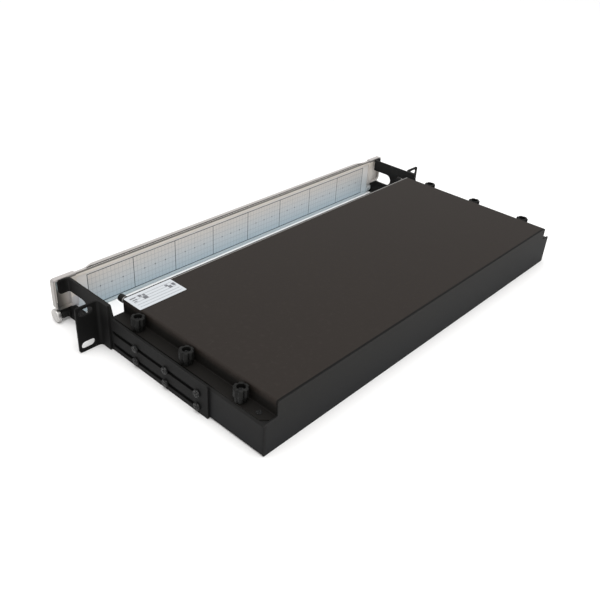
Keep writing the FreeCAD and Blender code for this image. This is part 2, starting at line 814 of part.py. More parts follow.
def fibre_guides():
    """Four plastic arches that keep slack fibre beside the splice trays."""
    arches = []
    floor = base + tray_t
    top_z = floor + guide_h
    half, w = guide_w / 2, guide_wall
    for x in (-guide_x, guide_x):
        for y in (tray_y, tray_y + tray_d - guide_d):
            arch = box(x - half, x + half, y, y + guide_d, floor, top_z)
            rims = [e for e in arch.Edges if e.BoundBox.ZMin > top_z - w and e.BoundBox.XLength < w]
            arch = arch.makeChamfer(guide_corner, rims)
            near, far, slit = y - w, y + guide_d + w, guide_split / 2
            inner = box(x - half + w, x + half - w, near, far, floor + w, top_z - w)
            split = box(x - slit, x + slit, near, far, top_z - 2 * w, top_z + w)
            arches.append(arch.cut([inner, split]))
    return Part.makeCompound(arches)


def cable_grommet():
    """Rubber grommet in the cable entry of the left side wall."""
    start = -half_body - grommet_lip_t
    length = tray_t + 2 * grommet_lip_t
    along = (1, 0, 0)
    middle = (start, entry_y, entry_height)
    outer = peg(entry_radius + grommet_lip, middle, length, along)
    groove = peg(entry_radius + 2 * grommet_lip, (-half_body, entry_y, entry_height), tray_t, along)
    neck = peg(entry_radius, middle, length, along)
    bore = eye(grommet_bore, middle, length, along)
    return outer.cut(groove.cut(neck)).cut(bore)


def cable_clamp():
    """Saddle bar on two feet, where the incoming cable is tied down."""
    floor = base + tray_t
    seat = floor + clamp_post_h
    y0, y1 = entry_y - clamp_d / 2, entry_y + clamp_d / 2
    x0, x1 = -clamp_x - clamp_w / 2, -clamp_x + clamp_w / 2
    clamp = box(x0, x1, y0, y1, seat, seat + clamp_t)
    clamp = clamp.fuse([box(x, x + clamp_foot, y0, y1, floor, seat) for x in (x0, x1 - clamp_foot)])
    notches = []
    for x in (x0 + 2 * clamp_foot, x1 - 2 * clamp_foot - clamp_notch):
        for y in (y0, y1):
            notches.append(box(x, x + clamp_notch, y - clamp_notch / 2, y + clamp_notch / 2,
                               seat - clamp_t, seat + 2 * clamp_t))
    return clamp.cut(notches).removeSplitter()


def all_parts():
    """Every node by name."""
    parts = {
        "base_tray": base_tray(),
        "top_cover": top_cover(),
        "locating_pins": locating_pins(),
        "front_panel": front_panel(),
        "door_panel": door_panel(),
        "label_sheet": label_sheet(),
        "catch_magnets": catch_magnets(),
        "splice_combs": splice_combs(),
        "tray_posts": tray_posts(),
        "fibre_guides": fibre_guides(),
        "cable_grommet": cable_grommet(),
        "cable_clamp": cable_clamp(),
    }
    parts.update(both_sides("bracket_plate", bracket_plate()))
    parts.update(both_sides("rack_ear", rack_ear()))
    parts.update(both_sides("rack_screws", rack_screws()))
    parts.update(both_sides("pin_bush", pin_bush()))
    parts.update(both_sides("hinge_pin", hinge_pin()))
    parts.update(both_sides("door_end_cap", door_end_cap()))
    parts.update(both_sides("press_nuts", press_nuts()))
    parts.update(both_sides("front_knob", front_knob()))
    parts.update(both_sides("front_stud", front_stud()))
    for number, y in enumerate(thumb_ys, 1):
        for side, x in (("right", thumb_x), ("left", -thumb_x)):
            parts[f"thumb_knob_{side}_{number}"] = thumb_knob(x, y)
            parts[f"thumb_stud_{side}_{number}"] = thumb_stud(x, y)
    for number, xs in enumerate(adapter_xs, 1):
        parts[f"adapters_{number}"] = Part.makeCompound([adapter(x) for x in xs])
    parts["dust_plugs"] = Part.makeCompound([dust_plug(x) for xs in adapter_xs for x in xs])
    for level in range(tray_count):
        parts[f"splice_tray_{level + 1}"] = splice_tray(level)
    return parts


os.makedirs("parts", exist_ok=True)
for node, shape in all_parts().items():
    shape.exportStep(f"parts/{node}.step")
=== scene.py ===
"""Looks of the fibre patch panel: powder coat, plating, moulded plastic, printed label and studio."""
import json
import math

import bmesh
import bpy
from mathutils import Matrix, Vector


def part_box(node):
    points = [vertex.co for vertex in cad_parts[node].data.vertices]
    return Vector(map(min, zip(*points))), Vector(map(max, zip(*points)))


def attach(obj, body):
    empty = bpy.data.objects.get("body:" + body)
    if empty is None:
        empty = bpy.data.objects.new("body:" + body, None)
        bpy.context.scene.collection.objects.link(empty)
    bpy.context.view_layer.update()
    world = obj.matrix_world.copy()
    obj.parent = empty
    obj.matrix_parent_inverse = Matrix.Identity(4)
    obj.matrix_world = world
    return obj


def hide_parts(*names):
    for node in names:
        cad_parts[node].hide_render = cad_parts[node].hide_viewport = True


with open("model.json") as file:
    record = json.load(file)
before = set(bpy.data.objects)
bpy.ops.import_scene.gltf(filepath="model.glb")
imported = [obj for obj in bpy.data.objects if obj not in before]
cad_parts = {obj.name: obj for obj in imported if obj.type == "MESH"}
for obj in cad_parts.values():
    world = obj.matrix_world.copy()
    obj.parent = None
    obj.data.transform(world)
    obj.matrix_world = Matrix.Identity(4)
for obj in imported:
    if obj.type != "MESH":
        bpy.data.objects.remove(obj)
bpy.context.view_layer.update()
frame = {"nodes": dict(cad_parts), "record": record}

MM = 0.001
nodes = frame["nodes"]
bodies = frame["record"]["behaviour"]["bodies"]
body_of_node = {node: body for body, members in bodies.items() for node in members}
slot_of_node = {part["node"]: part["material_slot"] for part in frame["record"]["subparts"]}


# Node maths: a wire is one output socket, and its operators add Math nodes

class Wire:
    """One output of a node tree; + - * / and the comparisons add the nodes that work them out."""

    def __init__(self, tree, socket):
        self.tree = tree
        self.socket = socket

    def math(self, operation, *others, clamp=False):
        inputs = {place: value for place, value in enumerate((self, *others))}
        return self.tree.add("ShaderNodeMath", {"operation": operation, "use_clamp": clamp}, inputs)

    def before(self, operation, first):
        return self.tree.add("ShaderNodeMath", {"operation": operation}, {0: first, 1: self})

    def __add__(self, other):
        return self.math("ADD", other)

    def __sub__(self, other):
        return self.math("SUBTRACT", other)

    def __mul__(self, other):
        return self.math("MULTIPLY", other)

    def __truediv__(self, other):
        return self.math("DIVIDE", other)

    def __radd__(self, other):
        return self.before("ADD", other)

    def __rsub__(self, other):
        return self.before("SUBTRACT", other)

    def __lt__(self, other):
        return self.math("LESS_THAN", other)

    def __gt__(self, other):
        return self.math("GREATER_THAN", other)

    def larger(self, other):
        return self.math("MAXIMUM", other)

    def fract(self):
        return self.math("FRACT")

    def size(self):
        return self.math("ABSOLUTE")

    def clamped(self):
        return self.math("ADD", 0.0, clamp=True)


class Tree:
    """A node tree that is filled by one method."""

    def __init__(self, node_tree):
        self.node_tree = node_tree

    def add(self, kind, settings=None, inputs=None, out=0):
        """One node: its settings first, then the value or wire of each input; gives an output wire."""
        node = self.node_tree.nodes.new(kind)
        for key, value in (settings or {}).items():
            if key == "stops":
                ramp = node.color_ramp
                while len(ramp.elements) < len(value):
                    ramp.elements.new(1.0)
                for element, (place, colour) in zip(ramp.elements, value):
                    element.position = place
                    element.color = (*colour, 1.0)
            else:
                setattr(node, key, value)
        for key, value in (inputs or {}).items():
            if isinstance(value, Wire):
                self.node_tree.links.new(value.socket, node.inputs[key])
            else:
                node.inputs[key].default_value = value
        return Wire(self, node.outputs[out]) if node.outputs else None


def rgba(colour):
    """A colour's wire as it is, or its three values with full alpha."""
    return colour if isinstance(colour, Wire) else (*colour, 1.0)


# Sockets of a colour Mix node, by their places
MIX_FACTOR = 0
MIX_FIRST = 6
MIX_SECOND = 7
MIX_RESULT = 2


class Finish(Tree):
    """A material's node tree, with the few shapes of pattern that the finishes share."""

    def __init__(self, name):
        self.material = bpy.data.materials.new(name)
        self.material.use_nodes = True
        super().__init__(self.material.node_tree)
        self.node_tree.nodes.clear()
        self.place = self.add("ShaderNodeTexCoord", out="Object")

    def along(self, axis):
        """The Object coordinate along X, Y or Z, in metres."""
        return self.add("ShaderNodeSeparateXYZ", inputs={0: self.place}, out=axis)

    def stretched(self, x, y, z):
        """Object coordinates scaled by axis."""
        return self.add("ShaderNodeMapping", inputs={"Vector": self.place, "Scale": (x, y, z)})

    def grain(self, scale, detail=2.0, place=None):
        """Soft noise between 0 and 1; scale is in repeats per metre."""
        inputs = {"Vector": place or self.place, "Scale": scale, "Detail": detail}
        return self.add("ShaderNodeTexNoise", inputs=inputs)

    def cells(self, scale):
        """Distance to the nearest cell point, for pits and specks."""
        return self.add("ShaderNodeTexVoronoi", inputs={"Vector": self.place, "Scale": scale})

    def ramp(self, wire, stops):
        """A colour between the (place, colour) stops."""
        return self.add("ShaderNodeValToRGB", {"stops": stops}, {0: wire})

    def blend(self, factor, first, second):
        """The first colour where factor is 0 and the second where it is 1."""
        inputs = {MIX_FACTOR: factor, MIX_FIRST: rgba(first), MIX_SECOND: rgba(second)}
        return self.add("ShaderNodeMix", {"data_type": "RGBA"}, inputs, out=MIX_RESULT)

    def bump(self, height, strength, depth, normal=None):
        """A normal tilted by the height; depth is in metres."""
        inputs = {"Height": height, "Strength": strength, "Distance": depth}
        if normal:
            inputs["Normal"] = normal
        return self.add("ShaderNodeBump", inputs=inputs)

    def done(self, colour, roughness, normal=None, **fixed):
        """The surface shader; fixed values go straight onto its sockets."""
        inputs = {"Base Color": rgba(colour), "Roughness": roughness}
        if normal:
            inputs["Normal"] = normal
        inputs.update({key.replace("_", " "): value for key, value in fixed.items()})
        shader = self.add("ShaderNodeBsdfPrincipled", inputs=inputs)
        self.add("ShaderNodeOutputMaterial", inputs={"Surface": shader})
        return self.material


# Powder coat

PALE_SPECK = (0.30, 0.29, 0.28)
EDGE_HIGHLIGHT = (0.42, 0.415, 0.405)
SEAM_SHADOW = (0.003, 0.003, 0.003)
OUTER_SHADE = (0.0012, 0.0012, 0.0012)
FOLD_SHADE = (0.0008, 0.0008, 0.0008)
OUTER_FADE = 3.0 * MM
FOLD_REACH = 3.2 * MM


def powder_coat(name, colour, dusty, roughness, gloss,
                edge_highlight=None, seam_shadow=None, shaded=None, fold=None, outer=None):
    """Dark powder coat: fine pebbling, slow cloudiness, a little pale dust.

    edge_highlight is the (Y, Z) corner in front of which and above which a painted highlight lightens the
    coat;
    seam_shadow is the (Y, Z) corner behind which and above which a painted shadow darkens the coat;
    shaded is the (Z, depth, colour, share) below which painted shade makes the coat darker;
    fold is the (X size, Y, Z) corner of the upright corner seams, which are dark below Z;
    outer is the X size beyond which painted shade makes the coat darker.
    """
    f = Finish(name)
    cloud = f.grain(5.0, 2.0)
    pebble = f.grain(1900.0, 1.0)
    orange_peel = f.grain(420.0, 1.0)
    dust = (f.grain(240.0, 5.0) - 0.55).clamped() * 0.9
    speck = f.cells(260.0) < 0.05
    base = f.blend((cloud - 0.3).clamped() * 0.5, colour, [c * 1.2 for c in colour])
    base = f.blend(dust, base, dusty)
    base = f.blend(speck * 0.1, base, PALE_SPECK)
    # Painted shade: the coat darkens below the given height
    if shaded:
        height, depth, tone, share = shaded
        low = ((height - f.along("Z")) / depth).clamped()
        base = f.blend(low * share, base, tone)
    # Painted highlight: the coat turns light along a front top edge
    if edge_highlight:
        edge = (f.along("Y") < edge_highlight[0]) * (f.along("Z") > edge_highlight[1])
        base = f.blend(edge * 0.85, base, EDGE_HIGHLIGHT)
    # Painted shadow: a dark line along a rear top edge
    if seam_shadow:
        edge = (f.along("Y") > seam_shadow[0]) * (f.along("Z") > seam_shadow[1])
        base = f.blend(edge * 0.85, base, SEAM_SHADOW)
    # Painted shade: the coat darkens beyond an X size, on the rack ears
    if outer:
        beyond = ((f.along("X").size() - outer) / OUTER_FADE).clamped()
        base = f.blend(beyond * 0.75, base, OUTER_SHADE)
    if fold:
        away = (fold[0] - f.along("X").size()) + (fold[1] - f.along("Y"))
        joint = (1.0 - away / FOLD_REACH).clamped() * (f.along("Z") < fold[2])
        base = f.blend(joint * 0.95, base, FOLD_SHADE)
    rough = roughness + (cloud - 0.5) * 0.03 + dust * 0.2
    normal = f.bump(orange_peel, 0.16, 0.2 * MM)
    normal = f.bump(pebble, 0.22, 0.08 * MM, normal)
    return f.done(base, rough, normal, Specular_IOR_Level=gloss)


# Moulded plastic

def moulded(name, colour, roughness, grain_scale=1400.0, strength=0.25, gloss=0.4):
    """Moulded plastic: fine spark-eroded texture with slight flow shading."""
    f = Finish(name)
    flow = f.grain(40.0, 2.0, f.stretched(1.0, 1.0, 0.35))
    base = f.blend((flow - 0.3).clamped(), colour, [min(1.0, c * 1.25) for c in colour])
    rough = roughness + (flow - 0.5) * 0.15
    normal = f.bump(f.grain(grain_scale, 1.0), strength, 0.06 * MM)
    return f.done(base, rough, normal, Specular_IOR_Level=gloss)


# The door's plastic: the heights start at the floor of the CAD, and BAND_END is an X size

DOOR_TOP = 44.0 * MM
WEB = 2.8 * MM
BAND_FOOT = 41.25 * MM
BAND_TOP = 42.9 * MM
BAND_RISE = 0.4 * MM
BAND_DEPTH = 4.0 * MM
BAND_END = 221.0 * MM
BAND_FADE = 3.0 * MM
CAP_FOOT_RIM = 21.5 * MM
CAP_RIM_GREY = (0.27, 0.262, 0.255)
HOLLOW_REACH = 17.0 * MM
HOLLOW_TOP = 0.97
HOLLOW_TOP_GREY = (0.36, 0.41, 0.42)
FAR_CAP_SHARE = 0.15

# Colours from the foot (0) to the top (1) of the door; the blue towards the foot is a painted reflection
RISE_TONES = [(0.0, (0.45, 0.54, 0.58)), (0.12, (0.45, 0.52, 0.55)), (0.30, (0.46, 0.44, 0.42)),
              (0.915, (0.68, 0.63, 0.57)), (0.946, (0.66, 0.62, 0.57)), (0.955, (0.37, 0.35, 0.34))]

# Colours of the painted shade band on the top edge, from its rear face (0) forwards (1)
BAND_SHADE_TONES = [(0.0, (0.15, 0.143, 0.132)), (0.04, (0.12, 0.113, 0.104)), (0.15, (0.085, 0.079, 0.072)),
              (0.24, (0.025, 0.023, 0.021)), (0.70, (0.025, 0.023, 0.021)), (0.90, (0.11, 0.104, 0.096)),
              (0.95, (0.30, 0.285, 0.27)), (1.0, (0.37, 0.35, 0.34))]

# Colours of the painted shade in the end cap's hollow, from its low outer side (0) inwards and upwards (1)
HOLLOW_TONES = [(0.0, (0.026, 0.032, 0.035)), (0.35, (0.105, 0.098, 0.088)),
                (0.62, (0.33, 0.305, 0.28)), (0.9, (0.46, 0.46, 0.48))]


def smoky_moulding(name, recess=None):
    """Translucent-looking grey moulding with a brown band of painted shade along the rear of the top bead.

    recess is the (X size, Y) corner inside which a hollow's shade fills the end cap.
    """
    f = Finish(name)
    flow = f.grain(40.0, 2.0, f.stretched(1.0, 1.0, 0.35))
    rise = (f.along("Z") - cad_floor) / DOOR_TOP
    out = f.along("X").size()
    base = f.ramp(rise, RISE_TONES)
    base = f.blend((flow - 0.4).clamped() * 0.3, base, (0.50, 0.48, 0.46))
    # Painted shade: a brown band along the rear of the top edge, under the bead
    ahead = (door_rear - f.along("Y")) / BAND_DEPTH
    band = ((f.along("Z") - cad_floor - BAND_FOOT) / BAND_RISE).clamped()
    band = band * (f.along("Z") < cad_floor + BAND_TOP)
    band = band * ((BAND_END - out) / BAND_FADE).clamped() * (ahead < 1.0)
    base = f.blend(band, base, f.ramp(ahead, BAND_SHADE_TONES))
    if recess:
        web = f.along("Y") > recess[1] - WEB
        deep = (out < recess[0]) * (f.along("Y") < recess[1]) * web
        foot_rim = (out < recess[0]) * (f.along("Z") < cad_floor + CAP_FOOT_RIM) * web
        deep = deep.larger(foot_rim) * (rise < HOLLOW_TOP)
        # The hollow's painted shade: darkest low on the outer side, paling to a blue grey towards the top,
        # full on the near cap (X > 0) and weak on the far one
        across = (recess[0] - out) / HOLLOW_REACH
        shade = (across * 0.8 + (rise - 0.2) * 0.35).clamped()
        hollow = f.ramp(shade, HOLLOW_TONES)
        hollow = f.blend(((rise - 0.68) / 0.12).clamped(), hollow, HOLLOW_TOP_GREY)
        near_side = (f.along("X") > 0.0) * (1.0 - FAR_CAP_SHARE) + FAR_CAP_SHARE
        base = f.blend(deep * near_side, base, hollow)
        base = f.blend((out > recess[0]) * 0.8, base, CAP_RIM_GREY)
    rough = 0.3 + (flow - 0.5) * 0.12 + band * 0.5
    return f.done(base, rough, f.bump(f.grain(1800.0, 1.0), 0.12, 0.06 * MM), Specular_IOR_Level=0.3)


# Metals and rubber

def plated(name, colour, roughness, turned=True):
    """Plated steel: turning marks and faint tarnish."""
    f = Finish(name)
    marks = f.grain(2600.0, 1.0, f.stretched(1.0, 0.12, 1.0)) if turned else f.grain(1500.0, 2.0)
    tarnish = f.grain(300.0, 4.0)
    base = f.blend((tarnish - 0.45).clamped(), colour, [c * 0.62 for c in colour])
    rough = roughness + marks * 0.14 + (tarnish - 0.5) * 0.1
    return f.done(base, rough, f.bump(marks, 0.2, 0.04 * MM), Metallic=1.0)


def worn_screw():
    """Black zinc with small bright patches where it has been rubbed."""
    f = Finish("black_zinc")
    rub = ((f.grain(900.0, 3.0) - 0.52).clamped() * 5.0).clamped()
    base = f.blend(rub * 0.4, (0.011, 0.0115, 0.012), (0.22, 0.215, 0.21))
    normal = f.bump(f.grain(2200.0), 0.2, 0.04 * MM)
    return f.done(base, 0.46 - rub * 0.1, normal, Metallic=0.6, Specular_IOR_Level=0.25)


def rubber():
    """Matt rubber with bloom."""
    f = Finish("rubber_black")
    bloom = (f.grain(180.0, 4.0) - 0.45).clamped()
    base = f.blend(bloom, (0.012, 0.012, 0.012), (0.06, 0.06, 0.062))
    return f.done(base, 0.78, f.bump(f.grain(1100.0), 0.3, 0.08 * MM), Specular_IOR_Level=0.25)


# The designation sheet

LABEL_FIELDS = 8
FIELD_PITCH = 49.4 * MM
GRID_FOOT = 3.8 * MM
GRID_HEIGHT = 32.8 * MM
FIBRES_PER_FIELD = 12
ROWS_PER_FIELD = 6
DOT_PLACES = 4
DOT_RADIUS = 0.75 * MM
LINE_WIDTH = 0.4 * MM
DASH = 0.9 * MM

# Colours of the paper from its foot (0) to its top (1); a painted reflection turns it blue towards the foot
PAPER_AND_REFLECTION_TONES = [(0.0, (0.36, 0.465, 0.53)), (0.4, (0.50, 0.545, 0.57)),
               (0.75, (0.60, 0.575, 0.545)), (1.0, (0.63, 0.595, 0.55))]


def printed_label(name):
    """Coated paper with a printed row of fields: frames, dotted rules and three register dots in each."""
    f = Finish(name)
    sheet_low, sheet_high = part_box("label_sheet")
    half_grid = LABEL_FIELDS * FIELD_PITCH / 2
    across = f.along("X") + half_grid
    up = f.along("Z") - (cad_floor + GRID_FOOT)
    field = (across / FIELD_PITCH).fract()
    inside = (f.along("X").size() < half_grid + LINE_WIDTH) * (up > -LINE_WIDTH)
    inside = inside * (up < GRID_HEIGHT + LINE_WIDTH)
    frame_line = ((field - 0.5).size() > 0.5 - LINE_WIDTH / FIELD_PITCH).larger(up < LINE_WIDTH)
    frame_line = frame_line.larger(up > GRID_HEIGHT - LINE_WIDTH) * inside
    dash_up = (up / DASH).fract() < 0.5
    dash_across = (across / DASH).fract() < 0.5
    rules_up = (((field * FIBRES_PER_FIELD).fract() - 0.5).size() > 0.45) * dash_up
    rules_across = (((up / GRID_HEIGHT * ROWS_PER_FIELD).fract() - 0.5).size() > 0.46) * dash_across
    rules = rules_up.larger(rules_across) * inside
    # The dots stand on the quarters of a field, but not on its two sides
    beside = ((field * DOT_PLACES + 0.5).fract() - 0.5) * (FIELD_PITCH / DOT_PLACES)
    above = up - GRID_HEIGHT / 2
    reach = (beside * beside + above * above).math("SQRT")
    side_gap = 0.5 / DOT_PLACES
    dots = (reach < DOT_RADIUS) * (field > side_gap) * (field < 1.0 - side_gap)
    height = ((f.along("Z") - sheet_low.z) / (sheet_high.z - sheet_low.z)).clamped()
    fibres = f.grain(700.0, 4.0)
    # Painted reflection: the paper is blue towards its foot and warm towards its top
    paper = f.ramp(height, PAPER_AND_REFLECTION_TONES)
    paper = f.blend((fibres - 0.5).clamped() * 0.25, paper, (0.40, 0.42, 0.45))
    paper = f.blend(inside, f.blend(0.22, paper, (1.0, 1.0, 1.0)), paper)
    ink = f.blend(rules * 0.7, paper, (0.12, 0.15, 0.20))
    ink = f.blend(dots * 0.75, ink, (0.05, 0.06, 0.08))
    ink = f.blend(frame_line * 0.9, ink, (0.035, 0.05, 0.06))
    return f.done(ink, 0.42 + fibres * 0.15, f.bump(fibres, 0.1, 0.05 * MM), Specular_IOR_Level=0.35)


# The sticker's paper

FORM_RULES = 6
FORM_RULE_SHARE = 0.18

# Blank blocks of the sticker: first edge, front edge, width and depth as shares of the sheet
BLANK_BLOCKS = ((0.23, 0.14, 0.06, 0.16), (0.31, 0.20, 0.05, 0.12), (0.27, 0.33, 0.09, 0.19),
                (0.78, 0.22, 0.06, 0.12), (0.81, 0.36, 0.07, 0.15), (0.91, 0.26, 0.06, 0.20),
                (0.06, 0.18, 0.12, 0.06), (0.08, 0.31, 0.09, 0.06), (0.07, 0.42, 0.07, 0.05))


def blank_form(name, low, high):
    """White sticker with faint empty form rules and a few plain blocks."""
    f = Finish(name)
    u = (high.x - f.along("X")) / (high.x - low.x)
    v = (f.along("Y") - low.y) / (high.y - low.y)
    rules = (v * FORM_RULES).fract() < FORM_RULE_SHARE
    rules = rules * (u > 0.06) * (u < 0.95) * (v > 0.08) * (v < 0.92)
    worn = f.grain(1500.0, 2.0) > 0.5
    paper_grain = f.grain(900.0, 3.0)
    base = f.blend((paper_grain - 0.5).clamped() * 0.3, (0.49, 0.515, 0.54), (0.42, 0.44, 0.47))
    base = f.blend(rules * (0.5 + worn * 0.3), base, (0.13, 0.14, 0.16))
    for left, front, wide, deep in BLANK_BLOCKS:
        inside = (u > left) * (u < left + wide) * (v > front) * (v < front + deep)
        base = f.blend(inside * (0.7 + worn * 0.25), base, (0.045, 0.045, 0.055))
    return f.done(base, 0.4, f.bump(paper_grain, 0.08, 0.04 * MM), Specular_IOR_Level=0.35)


# The finish of each material slot; the coats change at distances from the CAD boxes, EAR_START is an X size

WALL_SEAM_DEPTH = 2.0 * MM
WALL_SEAM_HEIGHT = 0.2 * MM
COVER_SEAM_DEPTH = 0.7 * MM
COVER_SEAM_HEIGHT = 4.0 * MM
HIGHLIGHT_DEPTH = 0.6 * MM
HIGHLIGHT_HEIGHT = 1.2 * MM
COVER_SHADE_DROP = 3.0 * MM
COVER_SHADE_DEPTH = 3.5 * MM
BRACKET_SHADE_DROP = 6.0 * MM
BRACKET_SHADE_DEPTH = 9.0 * MM
FOLD_DROP = 1.0 * MM
EAR_START = 219.5 * MM
CAP_SIDE_RIM = 1.6 * MM
CAP_REAR_RIM = 0.8 * MM

tray_low, tray_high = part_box("base_tray")
cover_low, cover_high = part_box("top_cover")
cad_floor, wall_back, cover_top = tray_low.z, tray_high.y, cover_high.z
door_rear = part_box("door_panel")[1].y
cap_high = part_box("door_end_cap_right")[1]

finishes = {
    # Housing: painted shade darkens it towards the foot, painted shadow lines run under the rear wall's top
    # edge and down its upright rear corners
    "housing_paint": powder_coat("housing_coat", (0.0108, 0.0104, 0.0096), (0.04, 0.038, 0.035),
                                 roughness=0.6, gloss=0.13,
                                 seam_shadow=(wall_back - WALL_SEAM_DEPTH, cover_top - WALL_SEAM_HEIGHT),
                                 shaded=(cover_top, cover_top - cad_floor, (0.0042, 0.0050, 0.0068), 0.75),
                                 fold=(tray_high.x, wall_back, cover_low.z - FOLD_DROP)),
    # Cover: a painted highlight along its front top edge, a painted shadow line along its rear edge, and
    # painted shade on its low side flanges
    "cover_paint": powder_coat("cover_coat", (0.0178, 0.0139, 0.0117), (0.045, 0.038, 0.034),
                               roughness=0.56, gloss=0.13,
                               edge_highlight=(cover_low.y + HIGHLIGHT_DEPTH, cover_top - HIGHLIGHT_HEIGHT),
                               seam_shadow=(cover_high.y - COVER_SEAM_DEPTH, cover_top - COVER_SEAM_HEIGHT),
                               shaded=(cover_top - COVER_SHADE_DROP, COVER_SHADE_DEPTH,
                                       (0.0022, 0.0028, 0.0026), 0.72)),
    # Bracket: painted shade on its low parts and on the rack ears
    "bracket_paint": powder_coat("bracket_coat", (0.0125, 0.0125, 0.0122), (0.03, 0.03, 0.03),
                                 roughness=0.6, gloss=0.1,
                                 shaded=(cover_top - BRACKET_SHADE_DROP, BRACKET_SHADE_DEPTH,
                                         (0.0068, 0.0068, 0.0068), 1.0),
                                 outer=EAR_START),
    "black_plastic": moulded("knob_plastic", (0.0048, 0.0048, 0.0046), roughness=0.5, gloss=0.15),
    "bright_plating": plated("nickel", (0.50, 0.49, 0.48), roughness=0.34),
    "dark_plating": worn_screw(),
    "zinc_steel": plated("zinc", (0.62, 0.63, 0.64), roughness=0.34, turned=False),
    "door_plastic": smoky_moulding("door_grey"),
    "door_cap": smoky_moulding("door_cap_grey", (cap_high.x - CAP_SIDE_RIM, cap_high.y - CAP_REAR_RIM)),
    "label_paper": printed_label("label_print"),
    "adapter_plastic": moulded("adapter_blue", (0.02, 0.12, 0.42), roughness=0.3,
                               grain_scale=2400.0, strength=0.1, gloss=0.5),
    "plug_plastic": moulded("plug_white", (0.72, 0.73, 0.73), roughness=0.5,
                            grain_scale=1200.0, strength=0.2, gloss=0.35),
    "tray_plastic": moulded("tray_grey", (0.11, 0.115, 0.12), roughness=0.5,
                            grain_scale=1300.0, strength=0.3, gloss=0.35),
    "grommet_rubber": rubber(),
}


# Mesh helpers

SHARP_ANGLE = 35
SOFTENED_ANGLE = 28
FLAT_ANGLE = 0.5
DOUBLE = 1e-6


def new_object(name, data):
    """An object in the scene's own collection."""
    made = bpy.data.objects.new(name, data)
    bpy.context.scene.collection.objects.link(made)
    return made


def finished(name, mesh, node, replaced=(), sharp=SHARP_ANGLE, finish=None):
    """A piece on the body of a CAD node, with that node's finish; the replaced nodes are hidden."""
    piece = new_object(name, mesh)
    if sharp:
        mesh.shade_smooth()
        mesh.set_sharp_from_angle(angle=math.radians(sharp))
    slot = slot_of_node[node]
    mesh.materials.clear()
    mesh.materials.append(finishes[finish or slot])
    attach(piece, body_of_node[node])
    if replaced:
        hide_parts(*replaced)
    return piece


def mesh_from(bm, name):
    """A mesh from a bmesh, doubles merged and faces turned outwards."""
    bmesh.ops.remove_doubles(bm, verts=bm.verts, dist=DOUBLE)
    bmesh.ops.recalc_face_normals(bm, faces=bm.faces)
    mesh = bpy.data.meshes.new(name)
    bm.to_mesh(mesh)
    bm.free()
    return mesh


def evaluated_mesh(holder, name):
    """The mesh of an object with its modifiers applied; the holder is deleted."""
    bpy.context.view_layer.update()
    depsgraph = bpy.context.evaluated_depsgraph_get()
    mesh = bpy.data.meshes.new_from_object(holder.evaluated_get(depsgraph))
    mesh.name = name
    bpy.data.objects.remove(holder)
    return mesh


def softened(node, width, finish=None):
    """The CAD node with its sharp edges broken, as pressed and coated sheet has them."""
    bm = bmesh.new()
    bm.from_mesh(nodes[node].data)
    bmesh.ops.remove_doubles(bm, verts=bm.verts, dist=DOUBLE)
    bmesh.ops.dissolve_limit(bm, angle_limit=math.radians(FLAT_ANGLE), verts=bm.verts, edges=bm.edges)
    mesh = bpy.data.meshes.new(node + "_sharp")
    bm.to_mesh(mesh)
    bm.free()
    mesh.shade_smooth()
    holder = new_object(node + "_holder", mesh)
    bevel = holder.modifiers.new("edges", "BEVEL")
    bevel.width = width
    bevel.segments = 2
    bevel.limit_method = "ANGLE"
    bevel.angle_limit = math.radians(SOFTENED_ANGLE)
    bevel.use_clamp_overlap = True
    even = holder.modifiers.new("flat_faces", "WEIGHTED_NORMAL")
    even.weight = 100
    mesh = evaluated_mesh(holder, node + "_soft")
    return finished(node + "_coated", mesh, node, [node], None, finish)


def limited(value):
    """A value held between 0 and 1."""
    return min(1.0, max(0.0, value))


def lofted(rings):
    """A bmesh skinned over rings of places and closed at both ends."""
    bm = bmesh.new()
    rows = [[bm.verts.new(place) for place in ring] for ring in rings]
    count = len(rows[0])
    for a, b in zip(rows, rows[1:]):
        for i in range(count):
            j = (i + 1) % count
            bm.faces.new((a[i], a[j], b[j], b[i]))
    bm.faces.new(rows[0])
    bm.faces.new(rows[-1])
    return bm


def turned(profile, centre, axis, count, flute=None):
    """A turned piece: (radius, height) points about an axis; flute gives the radius at each turn."""
    direction = Vector(axis).normalized()
    side = direction.orthogonal().normalized()
    other = direction.cross(side)
    rings = []
    for radius, height in profile:
        ring = []
        for step in range(count):
            turn = 2 * math.pi * step / count
            reach = flute(radius, turn) if flute else radius
            u, v = reach * math.cos(turn), reach * math.sin(turn)
            ring.append(centre + side * u + other * v + direction * height)
        rings.append(ring)
    return lofted(rings)


def bored(bm):
    """Cuts off the two end caps and bridges their rims, so that a bore runs through the piece."""
    caps = [face for face in bm.faces if len(face.verts) > 4]
    bmesh.ops.delete(bm, geom=caps, context="FACES")
    bmesh.ops.bridge_loops(bm, edges=[edge for edge in bm.edges if edge.is_boundary])


def round_nose(radius, z_from, z_to, soften, steps=5):
    """Profile points of a cylinder whose far edge is rounded."""
    points = [(radius, z_from), (radius, z_to - soften)]
    for i in range(1, steps + 1):
        turn = math.pi / 2 * i / steps
        points.append((radius - soften + soften * math.cos(turn), z_to - soften + soften * math.sin(turn)))
    return points


def made_from(bm, node, way):
    """The piece that takes a CAD node's place; way says how it is made."""
    return finished(node + way, mesh_from(bm, node + "_mesh"), node, [node])


def lying_across(node):
    """Inner end, outward axis, length and radius of a round node that lies along X."""
    low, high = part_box(node)
    centre = (low + high) / 2
    outward = 1 if centre.x > 0 else -1
    inner = low.x if outward > 0 else high.x
    return Vector((inner, centre.y, centre.z)), (outward, 0, 0), high.x - low.x, (high.z - low.z) / 2


# Thumb knobs on the cover

